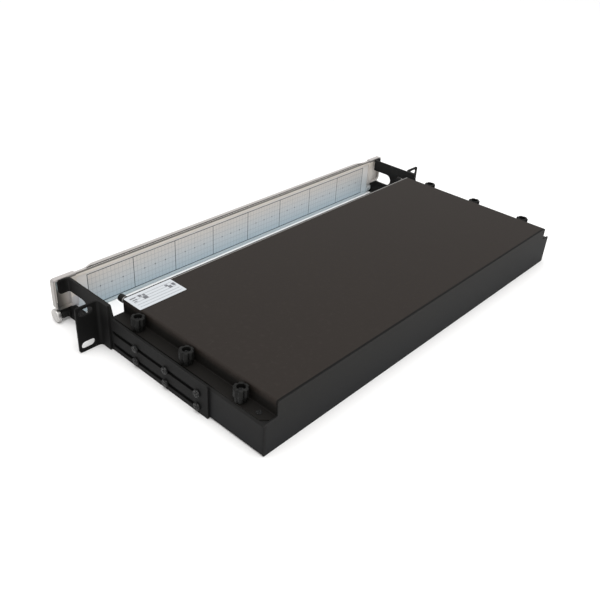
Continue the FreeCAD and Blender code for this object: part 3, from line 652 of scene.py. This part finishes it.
KNOB_RISE = 1.3 * MM
KNOB_BORE = 2.1 * MM
KNOB_SLIMMER = 1.1 * MM
KNOB_FOOT_EDGE = 0.4 * MM
KNOB_WAIST = 4.6 * MM
KNOB_FLARE = 0.3 * MM
KNOB_FLARE_START = KNOB_WAIST + 0.6 * MM
KNOB_FLARE_END = KNOB_WAIST + 1.0 * MM
KNOB_GRIP = KNOB_WAIST + 1.4 * MM
KNOB_DOME = 0.9 * MM
KNOB_DOME_DROP = 0.35 * MM
KNOB_RECESS = 3.4 * MM
KNOB_RECESS_LIP = 0.5 * MM
KNOB_RECESS_EDGE = 0.3 * MM
KNOB_RECESS_DRAFT = 0.1 * MM
KNOB_RECESS_DEPTH = 3.5 * MM
KNOB_LOBES = 6
KNOB_FLUTE = 1.05 * MM
KNOB_FLUTE_START = 3.6 * MM
KNOB_FLUTE_FADE = 2.0 * MM
KNOB_SIDES = 72


def lobed(radius, turn):
    """Shallow finger flutes that fade out towards the middle of the knob."""
    wave = max(0.0, -math.cos(KNOB_LOBES * turn)) ** 1.4
    return radius - KNOB_FLUTE * wave * limited((radius - KNOB_FLUTE_START) / KNOB_FLUTE_FADE)


def thumb_knob(node):
    """One fluted knob with a slimmer foot, a domed rim and a deep recess round its stud."""
    low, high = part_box(node)
    centre = Vector(((low.x + high.x) / 2, (low.y + high.y) / 2, low.z))
    radius, height = (high.x - low.x) / 2, high.z - low.z + KNOB_RISE
    slim, recess_floor = radius - KNOB_SLIMMER, height - KNOB_RECESS_DEPTH
    profile = [(KNOB_BORE, 0), (slim - KNOB_FOOT_EDGE, 0), (slim, KNOB_FOOT_EDGE), (slim, KNOB_WAIST)]
    profile += [(radius - KNOB_FLARE, KNOB_FLARE_START), (radius, KNOB_FLARE_END)]
    profile += round_nose(radius, KNOB_GRIP, height - KNOB_DOME_DROP, KNOB_DOME)
    profile += [(KNOB_RECESS + KNOB_RECESS_LIP, height), (KNOB_RECESS, height - KNOB_RECESS_EDGE)]
    profile += [(KNOB_RECESS - KNOB_RECESS_DRAFT, recess_floor), (KNOB_BORE, recess_floor)]
    bm = turned(profile, centre, (0, 0, 1), KNOB_SIDES, lobed)
    bored(bm)
    return made_from(bm, node, "_moulded")


# Spring pins of the door and their bushes

PIN_CENTRE = 0.5 * MM
PIN_TIP = 1.7 * MM
PIN_SHANK = 2.5 * MM
PIN_TAPER = 0.8 * MM
PIN_HEAD = 3.7 * MM
PIN_EDGE = 0.9 * MM
PIN_EDGE_MIDDLE = 0.25 * MM
PIN_RIM = 1.9 * MM
PIN_DISH = 2.3 * MM
PIN_SIDES = 64
BUSH_BORE = 2.55 * MM
BUSH_COLLAR = 1.6 * MM
BUSH_COLLAR_END = 2.0 * MM
BUSH_GRIP_DROP = 0.5 * MM
BUSH_NOSE = 1.2 * MM
BUSH_NOSE_DROP = 1.1 * MM
BUSH_RIDGES = 24
BUSH_RIDGE = 0.12 * MM
BUSH_SIDES = 96


def hinge_pin(node):
    """Plated pin: tapered tip, shank and a flat head with broken edges and a dished face."""
    place, outward, length, head = lying_across(node)
    under, dish = length - PIN_HEAD, length - PIN_EDGE_MIDDLE
    profile = [(PIN_TIP, 0), (PIN_SHANK, PIN_TAPER), (PIN_SHANK, under), (head - PIN_EDGE, under)]
    profile += [(head - PIN_EDGE_MIDDLE, under + PIN_EDGE_MIDDLE), (head, under + PIN_EDGE)]
    profile += [(head, length - PIN_EDGE), (head - PIN_EDGE_MIDDLE, dish), (head - PIN_EDGE, length)]
    profile += [(head - PIN_RIM, length), (head - PIN_DISH, dish), (PIN_CENTRE, dish)]
    bm = turned(profile, place, outward, PIN_SIDES)
    return made_from(bm, node, "_turned")


def pin_bush(node):
    """Black guide bush with a collar and a knurled grip."""
    place, outward, length, radius = lying_across(node)
    grip = radius - BUSH_GRIP_DROP
    profile = [(BUSH_BORE, 0), (radius, 0), (radius, BUSH_COLLAR), (grip, BUSH_COLLAR_END)]
    profile += [(grip, length - BUSH_NOSE), (radius - BUSH_NOSE_DROP, length), (BUSH_BORE, length)]

    def knurled(r, turn):
        return r + BUSH_RIDGE * math.cos(BUSH_RIDGES * turn) if r == grip else r

    bm = turned(profile, place, outward, BUSH_SIDES, knurled)
    bored(bm)
    return made_from(bm, node, "_moulded")


# Front corner knobs and the grommet

FRONT_KNOB_TRIM = 0.7 * MM
FRONT_KNOB_CENTRE = 0.4 * MM
FRONT_KNOB_EDGE = 0.6 * MM
FRONT_KNOB_GRIP = 1.0 * MM
FRONT_KNOB_NOSE = 0.8 * MM
FRONT_KNOB_HOLLOW = 1.6 * MM
FRONT_KNOB_FLOOR = 1.4 * MM
FRONT_KNOB_MIDDLE = 0.3 * MM
FRONT_KNOB_DIP = 0.4 * MM
FRONT_KNOB_RIBS = 10
FRONT_KNOB_GROOVE = 0.45 * MM
FRONT_KNOB_PLAIN = 3.4 * MM
FRONT_KNOB_FADE = 1.0 * MM
FRONT_KNOB_SIDES = 80
GROMMET_BORE = 5.5 * MM
GROMMET_LIP = 2.0 * MM
GROMMET_GROOVE = 2.0 * MM
GROMMET_WALL = 1.2 * MM
GROMMET_ROUND = 0.8 * MM
GROMMET_MOUTH = 0.5 * MM
GROMMET_SIDES = 64


def ribbed(radius, turn):
    """Grooves between the ribs of the front knob, fading out towards its middle."""
    share = limited((radius - FRONT_KNOB_PLAIN) / FRONT_KNOB_FADE)
    return radius - FRONT_KNOB_GROOVE * share * max(0.0, math.cos(FRONT_KNOB_RIBS * turn)) ** 2


def front_knob(node):
    """Small ribbed knob in front of its plated ferrule."""
    low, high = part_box(node)
    centre = (low + high) / 2
    radius, length = (high.x - low.x) / 2 - FRONT_KNOB_TRIM, high.y - low.y
    dip = length - FRONT_KNOB_DIP
    profile = [(FRONT_KNOB_CENTRE, 0), (radius - FRONT_KNOB_EDGE, 0), (radius, FRONT_KNOB_EDGE)]
    profile += round_nose(radius, FRONT_KNOB_GRIP, length, FRONT_KNOB_NOSE)
    profile += [(FRONT_KNOB_HOLLOW, length), (FRONT_KNOB_FLOOR, dip), (FRONT_KNOB_MIDDLE, dip)]
    place = Vector((centre.x, high.y, centre.z))
    bm = turned(profile, place, (0, -1, 0), FRONT_KNOB_SIDES, ribbed)
    return made_from(bm, node, "_moulded")


def grommet(node):
    """Rubber grommet with rounded lips and a groove for the wall."""
    low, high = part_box(node)
    centre = (low + high) / 2
    radius, length = (high.z - low.z) / 2, high.x - low.x
    mouth, groove = GROMMET_BORE + GROMMET_MOUTH, radius - GROMMET_GROOVE
    groove_end, rounded = GROMMET_LIP + GROMMET_WALL, radius - GROMMET_ROUND
    profile = [(GROMMET_BORE, GROMMET_MOUTH), (mouth, 0), (rounded, 0), (radius, GROMMET_ROUND)]
    profile += [(radius, GROMMET_LIP), (groove, GROMMET_LIP), (groove, groove_end), (radius, groove_end)]
    profile += [(radius, length - GROMMET_ROUND), (rounded, length), (mouth, length)]
    profile += [(GROMMET_BORE, length - GROMMET_MOUTH)]
    bm = turned(profile, Vector((low.x, centre.y, centre.z)), (1, 0, 0), GROMMET_SIDES)
    bored(bm)
    return made_from(bm, node, "_moulded")


# The label door

DOOR_SHARP_ANGLE = 32
BEAD_RADIUS = 3.6 * MM
BEAD_AHEAD = 1.8 * MM
BEAD_DROP = 0.9 * MM
BEAD_END = 8.0 * MM
BEAD_TAPER = 14.0 * MM
BEAD_LAST_TURN = math.radians(300)
BEAD_STEPS = 22
TAPER_STEPS = 12
MIDDLE_STEPS = 16
SKIRT = 1.1 * MM
LIP = 0.6 * MM
LIP_SEAT = 0.9 * MM
LOW_LIP = 0.9 * MM
TOP_LIP = 4.3 * MM
SEAT_DROP = 1.5 * MM
CROWN_SINK = 1.8 * MM
EDGE_RISE = 0.65 * MM
EDGE_DROP = 1.0 * MM
PLAIN_REAR = 1.4 * MM
PLAIN_FALL = 5.7 * MM
SKIRT_EDGE = 0.3 * MM
SMALL_EDGE = 0.2 * MM
REAR_EDGE = 0.7 * MM
FRONT_EDGE = 0.8 * MM


def smooth_step(value):
    """An even S curve from 0 to 1."""
    t = limited(value)
    return t * t * (3 - 2 * t)


def top_edge(fullness, rear, web_front, top):
    """The part of the door's profile over its top: round the bead, or along the plain edge."""
    bead_y, bead_z = web_front - BEAD_AHEAD, top - BEAD_DROP - BEAD_RADIUS
    first_turn = math.asin((BEAD_RADIUS + BEAD_DROP - CROWN_SINK) / BEAD_RADIUS)
    plain_rear, plain_front = rear - PLAIN_REAR, web_front + FRONT_EDGE
    half = BEAD_STEPS // 2
    points = []
    for i in range(BEAD_STEPS + 1):
        turn = first_turn + (BEAD_LAST_TURN - first_turn) * i / BEAD_STEPS
        bead = (bead_y + BEAD_RADIUS * math.cos(turn), bead_z + BEAD_RADIUS * math.sin(turn))
        if i <= half:
            plain = (plain_rear + (plain_front - plain_rear) * i / half, top - EDGE_DROP)
        else:
            share = (i - half) / (BEAD_STEPS - half)
            corner = FRONT_EDGE * (1 - min(1.0, share * 4)) ** 2
            plain = (web_front + corner, top - EDGE_DROP - PLAIN_FALL * share)
        points.append(tuple(p + (b - p) * fullness for p, b in zip(plain, bead)))
    return points


def door_section(fullness, low, high, sheet_front):
    """Points of the door's profile; fullness 1 has the finger bead and 0 a plain rounded top edge."""
    rear, foot, top = high.y, low.z, high.z
    web_front = sheet_front - WEB
    lip_in = rear - LIP
    seat_low, seat_high = foot + LIP_SEAT, top - LIP_SEAT - SEAT_DROP
    low_edge, high_edge = seat_low + LOW_LIP, top - LIP_SEAT - TOP_LIP
    skirt = foot - SKIRT
    crown = top - CROWN_SINK * fullness - EDGE_DROP * (1 - fullness)
    edge = crown + EDGE_RISE * fullness
    points = [(rear - SKIRT_EDGE, skirt), (rear, skirt + SKIRT_EDGE), (rear, low_edge), (lip_in, low_edge)]
    points += [(lip_in, seat_low), (sheet_front, seat_low), (sheet_front, seat_high), (lip_in, seat_high)]
    points += [(lip_in, high_edge), (rear - SMALL_EDGE, high_edge), (rear, high_edge + SMALL_EDGE)]
    points += [(rear, edge - REAR_EDGE), (rear - SMALL_EDGE, edge - SMALL_EDGE), (rear - REAR_EDGE, edge)]
    points += top_edge(fullness, rear, web_front, top)
    points += [(web_front, skirt + FRONT_EDGE), (web_front + FRONT_EDGE, skirt)]
    return points


def label_door():
    """The door's long moulding, skinned through sections whose bead fades out at both ends."""
    low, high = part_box("door_panel")
    sheet_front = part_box("label_sheet")[0].y
    full_end = high.x - BEAD_END - BEAD_TAPER
    taper = [-full_end - BEAD_TAPER * (1 - i / TAPER_STEPS) for i in range(TAPER_STEPS + 1)]
    middle = [-full_end + 2 * full_end * i / MIDDLE_STEPS for i in range(1, MIDDLE_STEPS)]
    stations = [low.x] + taper + middle + [-x for x in reversed(taper)] + [high.x]
    rings = []
    for x in stations:
        fullness = smooth_step((high.x - BEAD_END - abs(x)) / BEAD_TAPER)
        rings.append([(x, y, z) for y, z in door_section(fullness, low, high, sheet_front)])
    mesh = mesh_from(lofted(rings), "door_mesh")
    return finished("door_moulding", mesh, "door_panel", ["door_panel"], DOOR_SHARP_ANGLE)


# What repeats: Geometry Nodes place one part along three lines of copies

def line_tree():
    """Copies of a part along three nested lines, made real and given one finish."""
    group = bpy.data.node_groups.new("rows_of_parts", "GeometryNodeTree")
    face = group.interface
    face.new_socket("Geometry", in_out="INPUT", socket_type="NodeSocketGeometry")
    face.new_socket("Part", in_out="INPUT", socket_type="NodeSocketObject")
    face.new_socket("Finish", in_out="INPUT", socket_type="NodeSocketMaterial")
    face.new_socket("First place", in_out="INPUT", socket_type="NodeSocketVector")
    for word in ("Column", "Row", "Group"):
        face.new_socket(word + " count", in_out="INPUT", socket_type="NodeSocketInt")
        face.new_socket(word + " step", in_out="INPUT", socket_type="NodeSocketVector")
    face.new_socket("Geometry", in_out="OUTPUT", socket_type="NodeSocketGeometry")
    tree = Tree(group)
    source = group.nodes.new("NodeGroupInput")
    given = {socket.name: Wire(tree, socket) for socket in source.outputs}
    points = tree.add("GeometryNodeMeshLine", {"mode": "OFFSET"}, {
        "Count": given["Group count"], "Start Location": given["First place"],
        "Offset": given["Group step"]})
    for word in ("Row", "Column"):
        line = tree.add("GeometryNodeMeshLine", {"mode": "OFFSET"}, {
            "Count": given[word + " count"], "Offset": given[word + " step"]})
        copies = tree.add("GeometryNodeInstanceOnPoints", inputs={"Points": points, "Instance": line})
        points = tree.add("GeometryNodeRealizeInstances", inputs={"Geometry": copies})
    part = tree.add("GeometryNodeObjectInfo", inputs={"Object": given["Part"]}, out="Geometry")
    copies = tree.add("GeometryNodeInstanceOnPoints", inputs={"Points": points, "Instance": part})
    real = tree.add("GeometryNodeRealizeInstances", inputs={"Geometry": copies})
    coated = tree.add("GeometryNodeSetMaterial", inputs={"Geometry": real, "Material": given["Finish"]})
    group.nodes.new("NodeGroupOutput")
    tree.node_tree.links.new(coated.socket, group.nodes[-1].inputs[0])
    return group


rows_of_parts = line_tree()
ONE_ONLY = (1, (0, 0, 0))


def set_input(modifier, name, value):
    """An input of the rows' modifier, found by its name and set by its identifier."""
    for item in rows_of_parts.interface.items_tree:
        if item.item_type == "SOCKET" and item.in_out == "INPUT" and item.name == name:
            modifier[item.identifier] = value


def copies_of(name, part_mesh, node, replaced, first, column, row, group=ONE_ONLY):
    """A plain mesh of the part's copies; column, row and group are (count, step) pairs."""
    part = new_object(name + "_part", part_mesh)
    holder = new_object(name + "_holder", bpy.data.meshes.new(name + "_holder"))
    modifier = holder.modifiers.new("rows", "NODES")
    modifier.node_group = rows_of_parts
    set_input(modifier, "Part", part)
    set_input(modifier, "Finish", finishes[slot_of_node[node]])
    set_input(modifier, "First place", tuple(first))
    for word, (count, step) in (("Column", column), ("Row", row), ("Group", group)):
        set_input(modifier, word + " count", count)
        set_input(modifier, word + " step", tuple(float(s) for s in step))
    mesh = evaluated_mesh(holder, name + "_mesh")
    bpy.data.objects.remove(part)
    return finished(name, mesh, node, replaced)


def block(bm, low, high, soften):
    """A block between two corners, with its edges broken."""
    made = bmesh.ops.create_cube(bm, size=1.0)["verts"]
    for vert in made:
        vert.co = Vector([low[i] + (high[i] - low[i]) * (vert.co[i] + 0.5) for i in range(3)])
    edges = list({edge for vert in made for edge in vert.link_edges})
    bmesh.ops.bevel(bm, geom=edges, offset=soften, segments=2, affect="EDGES", profile=0.6)


# Screws of the brackets

SCREW_RADIUS = 3.5 * MM
SCREW_HEIGHT = 2.1 * MM
SCREW_EDGE = 0.35 * MM
SCREW_DOME = 1.3 * MM
CROSS_RIM = 1.2 * MM
CROSS_RIM_MARGIN = 0.05 * MM
CROSS_SHORT = 0.45 * MM
CROSS_LONGER = 1.15 * MM
CROSS_DEPTH = 1.1 * MM
CROSS_FLOOR_SHARE = 0.7
SCREW_SIDES = 36
SCREW_ROWS = 2
SCREWS_IN_ROW = 3


def pan_head_screw():
    """Cross-recessed pan head at the origin, its axis along +X."""
    profile = [(SCREW_RADIUS - SCREW_EDGE, 0)]
    profile += round_nose(SCREW_RADIUS, SCREW_EDGE, SCREW_HEIGHT, SCREW_DOME, 6)
    profile.append((CROSS_RIM, SCREW_HEIGHT))
    bm = turned(profile, Vector(), (1, 0, 0), SCREW_SIDES)
    cap = max(bm.faces, key=lambda face: face.calc_center_median().x)
    bmesh.ops.delete(bm, geom=[cap], context="FACES_ONLY")
    on_top = [vert for vert in bm.verts if vert.co.x > SCREW_HEIGHT - DOUBLE]
    rim = [vert for vert in on_top if vert.co.yz.length < CROSS_RIM + CROSS_RIM_MARGIN]
    rim.sort(key=lambda vert: math.atan2(vert.co.z, vert.co.y))
    # The cross: rim points pulled to long and short reaches, then down into the head
    floor = []
    for vert in rim:
        turn = math.atan2(vert.co.z, vert.co.y)
        reach = CROSS_SHORT + CROSS_LONGER * abs(math.cos(2 * turn)) ** 6
        vert.co = Vector((SCREW_HEIGHT, reach * math.cos(turn), reach * math.sin(turn)))
        floor_y, floor_z = CROSS_FLOOR_SHARE * vert.co.y, CROSS_FLOOR_SHARE * vert.co.z
        floor.append(bm.verts.new((SCREW_HEIGHT - CROSS_DEPTH, floor_y, floor_z)))
    count = len(rim)
    for i in range(count):
        j = (i + 1) % count
        bm.faces.new((rim[i], rim[j], floor[j], floor[i]))
    bm.faces.new(floor)
    return mesh_from(bm, "pan_head_screw")


def rack_screws(side):
    """The six screws of one bracket, on its two slot rows."""
    node = "rack_screws_" + side
    low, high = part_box(node)
    mesh = pan_head_screw()
    plate_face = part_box("pin_bush_right")[0].x
    if side == "left":
        mesh.transform(Matrix.Rotation(math.pi, 4, "Z"))
        plate_face = -plate_face
    first = (plate_face, low.y + SCREW_RADIUS, low.z + SCREW_RADIUS)
    pitch = (high.y - low.y - 2 * SCREW_RADIUS) / (SCREWS_IN_ROW - 1)
    rise = high.z - low.z - 2 * SCREW_RADIUS
    column, row = (SCREWS_IN_ROW, (0, pitch, 0)), (SCREW_ROWS, (0, 0, rise))
    return copies_of("rack_screw_heads_" + side, mesh, node, [node], first, column, row)


# Adapters and dust plugs behind the door

ADAPTERS_PER_GROUP = 3
ADAPTER_W = 12.7 * MM
FLANGE_RIM = 0.75 * MM
FLANGE_THICK = 1.4 * MM
PORT_BAR = 1.1 * MM
PORT_SINK = 1.0 * MM
KEY_HALF = 1.2 * MM
KEY_OUT = 0.5 * MM
KEY_ROOT = 0.1 * MM
KEY_FRONT = 1.4 * MM
KEY_REAR = 0.8 * MM
BODY_SOFT = 0.2 * MM
FLANGE_SOFT = 0.25 * MM
BAR_SOFT = 0.12 * MM
KEY_SOFT = 0.15 * MM
PLUG_INSET = 0.7 * MM
PLUG_FACE_SHARE = 0.75
PLUG_SOFT = 0.5 * MM
PLUG_HALF_GAP = 0.6 * MM
PLUG_WEB_INSET = 1.6 * MM
PLUG_WEB_SHORTER = 2.0 * MM
PLUG_WEB_SHARE = 0.6
PLUG_WEB_SOFT = 0.3 * MM
PLUG_RIBS = 4
PLUG_RIB_HALF = 0.5 * MM
PLUG_RIB_INSET = 1.2 * MM
PLUG_RIB_ROOT = 0.2 * MM
PLUG_RIB_SOFT = 0.2 * MM


def duplex_adapter(w, h, front, rear):
    """Upright duplex adapter about the plate's face: body, flange, port frame and key ribs."""
    bm = bmesh.new()
    flange_w, flange_h, port_floor = w + FLANGE_RIM, h + FLANGE_RIM, -front + PORT_SINK
    block(bm, (-w, port_floor, -h), (w, rear, h), BODY_SOFT)
    block(bm, (-flange_w, -FLANGE_THICK, -flange_h), (flange_w, 0, flange_h), FLANGE_SOFT)
    for side in (-1, 1):
        edges = sorted((side * w, side * (w - PORT_BAR)))
        block(bm, (edges[0], -front, -h), (edges[1], port_floor, h), BAR_SOFT)
    for foot in (-h, -PORT_BAR / 2, h - PORT_BAR):
        block(bm, (-w, -front, foot), (w, port_floor, foot + PORT_BAR), BAR_SOFT)
    for level in (-h / 2, h / 2):
        key_low = (w - KEY_ROOT, -front + KEY_FRONT, level - KEY_HALF)
        key_high = (w + KEY_OUT, -FLANGE_THICK - KEY_REAR, level + KEY_HALF)
        block(bm, key_low, key_high, KEY_SOFT)
    return mesh_from(bm, "duplex_adapter")


def duplex_plug(w, h, reach):
    """Dust plug about the adapter's face: two heads on one web, with grip ribs."""
    bm = bmesh.new()
    web_w, web_h, rib_w = w - PLUG_WEB_INSET, h - PLUG_WEB_SHORTER, w - PLUG_RIB_INSET
    face = PLUG_FACE_SHARE * reach
    block(bm, (-web_w, -face * PLUG_WEB_SHARE, -web_h), (web_w, 0, web_h), PLUG_WEB_SOFT)
    for foot, head in ((-h, -PLUG_HALF_GAP), (PLUG_HALF_GAP, h)):
        block(bm, (-w, -face, foot), (w, 0, head), PLUG_SOFT)
        for i in range(PLUG_RIBS):
            z = foot + (head - foot) * (i + 1) / (PLUG_RIBS + 1)
            rib_low = (-rib_w, -reach, z - PLUG_RIB_HALF)
            rib_high = (rib_w, -face + PLUG_RIB_ROOT, z + PLUG_RIB_HALF)
            block(bm, rib_low, rib_high, PLUG_RIB_SOFT)
    return mesh_from(bm, "duplex_plug")


def adapter_bank():
    """All adapters and their plugs, in one row of equal groups."""
    names = sorted(node for node in nodes if node.startswith("adapters_"))
    low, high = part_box(names[0])
    last_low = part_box(names[-1])[0]
    plate_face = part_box("front_panel")[0].y
    h = (high.z - low.z) / 2 - FLANGE_RIM
    w = ADAPTER_W / 2
    first_x = low.x + FLANGE_RIM + w
    middle = (low.z + high.z) / 2
    pitch = (high.x - low.x - 2 * (w + FLANGE_RIM)) / (ADAPTERS_PER_GROUP - 1)
    group_pitch = (last_low.x - low.x) / (len(names) - 1)
    lines = ((ADAPTERS_PER_GROUP, (pitch, 0, 0)), ONE_ONLY, (len(names), (group_pitch, 0, 0)))
    mesh = duplex_adapter(w, h, plate_face - low.y, high.y - plate_face)
    copies_of("adapter_bank", mesh, names[0], names, (first_x, plate_face, middle), *lines)
    plug = duplex_plug(w - PLUG_INSET, h - PLUG_INSET, low.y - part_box("dust_plugs")[0].y)
    copies_of("dust_plug_heads", plug, "dust_plugs", ["dust_plugs"], (first_x, low.y, middle), *lines)


# The sticker on the cover

STICKER_LOW = Vector((155.0, 12.15, 0)) * MM
STICKER_HIGH = Vector((203.6, 35.0, 0)) * MM
STICKER_CORNER = 1.0 * MM
STICKER_LIFT = 0.02 * MM
STICKER_THICK = 0.1 * MM
CORNER_STEPS = 4


def cover_sticker():
    """Thin white sticker near the cover's front right corner, its corners rounded."""
    low_x, low_y = STICKER_LOW.x + STICKER_CORNER, STICKER_LOW.y + STICKER_CORNER
    high_x, high_y = STICKER_HIGH.x - STICKER_CORNER, STICKER_HIGH.y - STICKER_CORNER
    outline = []
    for x, y, start in ((high_x, high_y, 0), (low_x, high_y, 90), (low_x, low_y, 180), (high_x, low_y, 270)):
        for i in range(CORNER_STEPS + 1):
            turn = math.radians(start + 90 * i / CORNER_STEPS)
            outline.append((x + STICKER_CORNER * math.cos(turn), y + STICKER_CORNER * math.sin(turn)))
    foot = cover_top + STICKER_LIFT
    rings = [[(x, y, z) for x, y in outline] for z in (foot, foot + STICKER_THICK)]
    piece = new_object("cover_sticker", mesh_from(lofted(rings), "sticker_mesh"))
    piece.data.materials.append(blank_form("sticker_paper", STICKER_LOW, STICKER_HIGH))
    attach(piece, "cover")
    return piece


# Put the pieces on the frame

PLATE_EDGE = 0.25 * MM
EAR_EDGE = 0.3 * MM
CAP_EDGE = 0.35 * MM
COVER_EDGE = 0.22 * MM

for side in ("left", "right"):
    softened("bracket_plate_" + side, PLATE_EDGE)
    softened("rack_ear_" + side, EAR_EDGE)
    softened("door_end_cap_" + side, CAP_EDGE, "door_cap")
    hinge_pin("hinge_pin_" + side)
    pin_bush("pin_bush_" + side)
    front_knob("front_knob_" + side)
    rack_screws(side)
    for number in (1, 2, 3):
        thumb_knob(f"thumb_knob_{side}_{number}")
softened("top_cover", COVER_EDGE)
softened("base_tray", PLATE_EDGE)
label_door()
grommet("cable_grommet")
adapter_bank()
cover_sticker()

# The nodes of the CAD take the same finishes; the studs in the thumb knobs are dark
for node, piece in nodes.items():
    finish = finishes["dark_plating" if node.startswith("thumb_stud") else slot_of_node[node]]
    if not piece.data.materials:
        piece.data.materials.append(finish)
    for place in range(len(piece.data.materials)):
        piece.data.materials[place] = finish


# Camera

CAMERA_PLACE = Vector((481.16, 440.91, 342.18)) * MM
CAMERA_AZIMUTH = math.radians(130.5)
CAMERA_ELEVATION = math.radians(32.27)
CAMERA_ROLL = math.radians(4.04)
PHOTO_WIDTH = 600
FOCAL_PIXELS = 707.58
SENSOR_WIDTH = 36.0


def camera():
    """The photograph's camera: behind the panel, above and to its right side, slightly rolled."""
    back = Vector((math.sin(CAMERA_AZIMUTH) * math.cos(CAMERA_ELEVATION),
                   -math.cos(CAMERA_AZIMUTH) * math.cos(CAMERA_ELEVATION), math.sin(CAMERA_ELEVATION)))
    right = Vector((0, 0, 1)).cross(back).normalized()
    up = back.cross(right)
    turned_right = right * math.cos(CAMERA_ROLL) + up * math.sin(CAMERA_ROLL)
    turned_up = up * math.cos(CAMERA_ROLL) - right * math.sin(CAMERA_ROLL)
    data = bpy.data.cameras.new("photo_camera")
    data.sensor_fit = "HORIZONTAL"
    data.sensor_width = SENSOR_WIDTH
    data.lens = FOCAL_PIXELS * SENSOR_WIDTH / PHOTO_WIDTH
    data.clip_start, data.clip_end = 0.01, 50.0
    eye = new_object("photo_camera", data)
    turn = Matrix((turned_right, turned_up, back)).transposed()
    eye.matrix_world = Matrix.Translation(CAMERA_PLACE) @ turn.to_4x4()
    bpy.context.scene.camera = eye


# Studio

FLOOR_HALF = 6.0
FLOOR_GAP = 0.1 * MM
FLOOR_PLAIN = 0.8
FLOOR_FADE = 1.2
ROOM_COLOUR = (1.0, 0.995, 0.985, 1)
ROOM_STRENGTH = 0.85
LIGHT_AIM = (0, 0.05, 0)


def floor_finish():
    """Plain pale studio floor that turns white towards its far edges."""
    f = Finish("studio_floor")
    base = f.blend(f.grain(2.0, 2.0) * 0.3, (0.90, 0.90, 0.90), (0.86, 0.86, 0.86))
    away = f.along("X").size().larger(f.along("Y").size())
    base = f.blend(((away - FLOOR_PLAIN) / FLOOR_FADE).clamped(), base, (0.99, 0.99, 0.99))
    return f.done(base, 0.9, Specular_IOR_Level=0.1)


def soft_box(name, place, size, power, tint=(1, 1, 1)):
    """A square area light that faces the panel."""
    data = bpy.data.lights.new(name, "AREA")
    data.shape = "SQUARE"
    data.size = size
    data.energy = power
    data.color = tint
    lamp = new_object(name, data)
    lamp.location = place
    lamp.rotation_euler = (Vector(place) - Vector(LIGHT_AIM)).to_track_quat("Z", "Y").to_euler()


def studio():
    """Pale floor, a pale room and soft lights."""
    bm = bmesh.new()
    bmesh.ops.create_grid(bm, x_segments=1, y_segments=1, size=FLOOR_HALF)
    mesh = bpy.data.meshes.new("floor")
    bm.to_mesh(mesh)
    bm.free()
    mesh.transform(Matrix.Translation((0, 0, cad_floor - FLOOR_GAP)))
    floor = new_object("floor", mesh)
    mesh.materials.append(floor_finish())
    world = bpy.data.worlds.new("pale_room")
    world.use_nodes = True
    world.node_tree.nodes["Background"].inputs["Color"].default_value = ROOM_COLOUR
    world.node_tree.nodes["Background"].inputs["Strength"].default_value = ROOM_STRENGTH
    bpy.context.scene.world = world
    soft_box("overhead", place=(0.2, 0.3, 2.2), size=1.6, power=32)
    soft_box("rear_fill", place=(1.4, 2.0, 1.0), size=1.2, power=12, tint=(1.0, 0.97, 0.94))
    bpy.context.scene.view_settings.view_transform = "Standard"


camera()
studio()
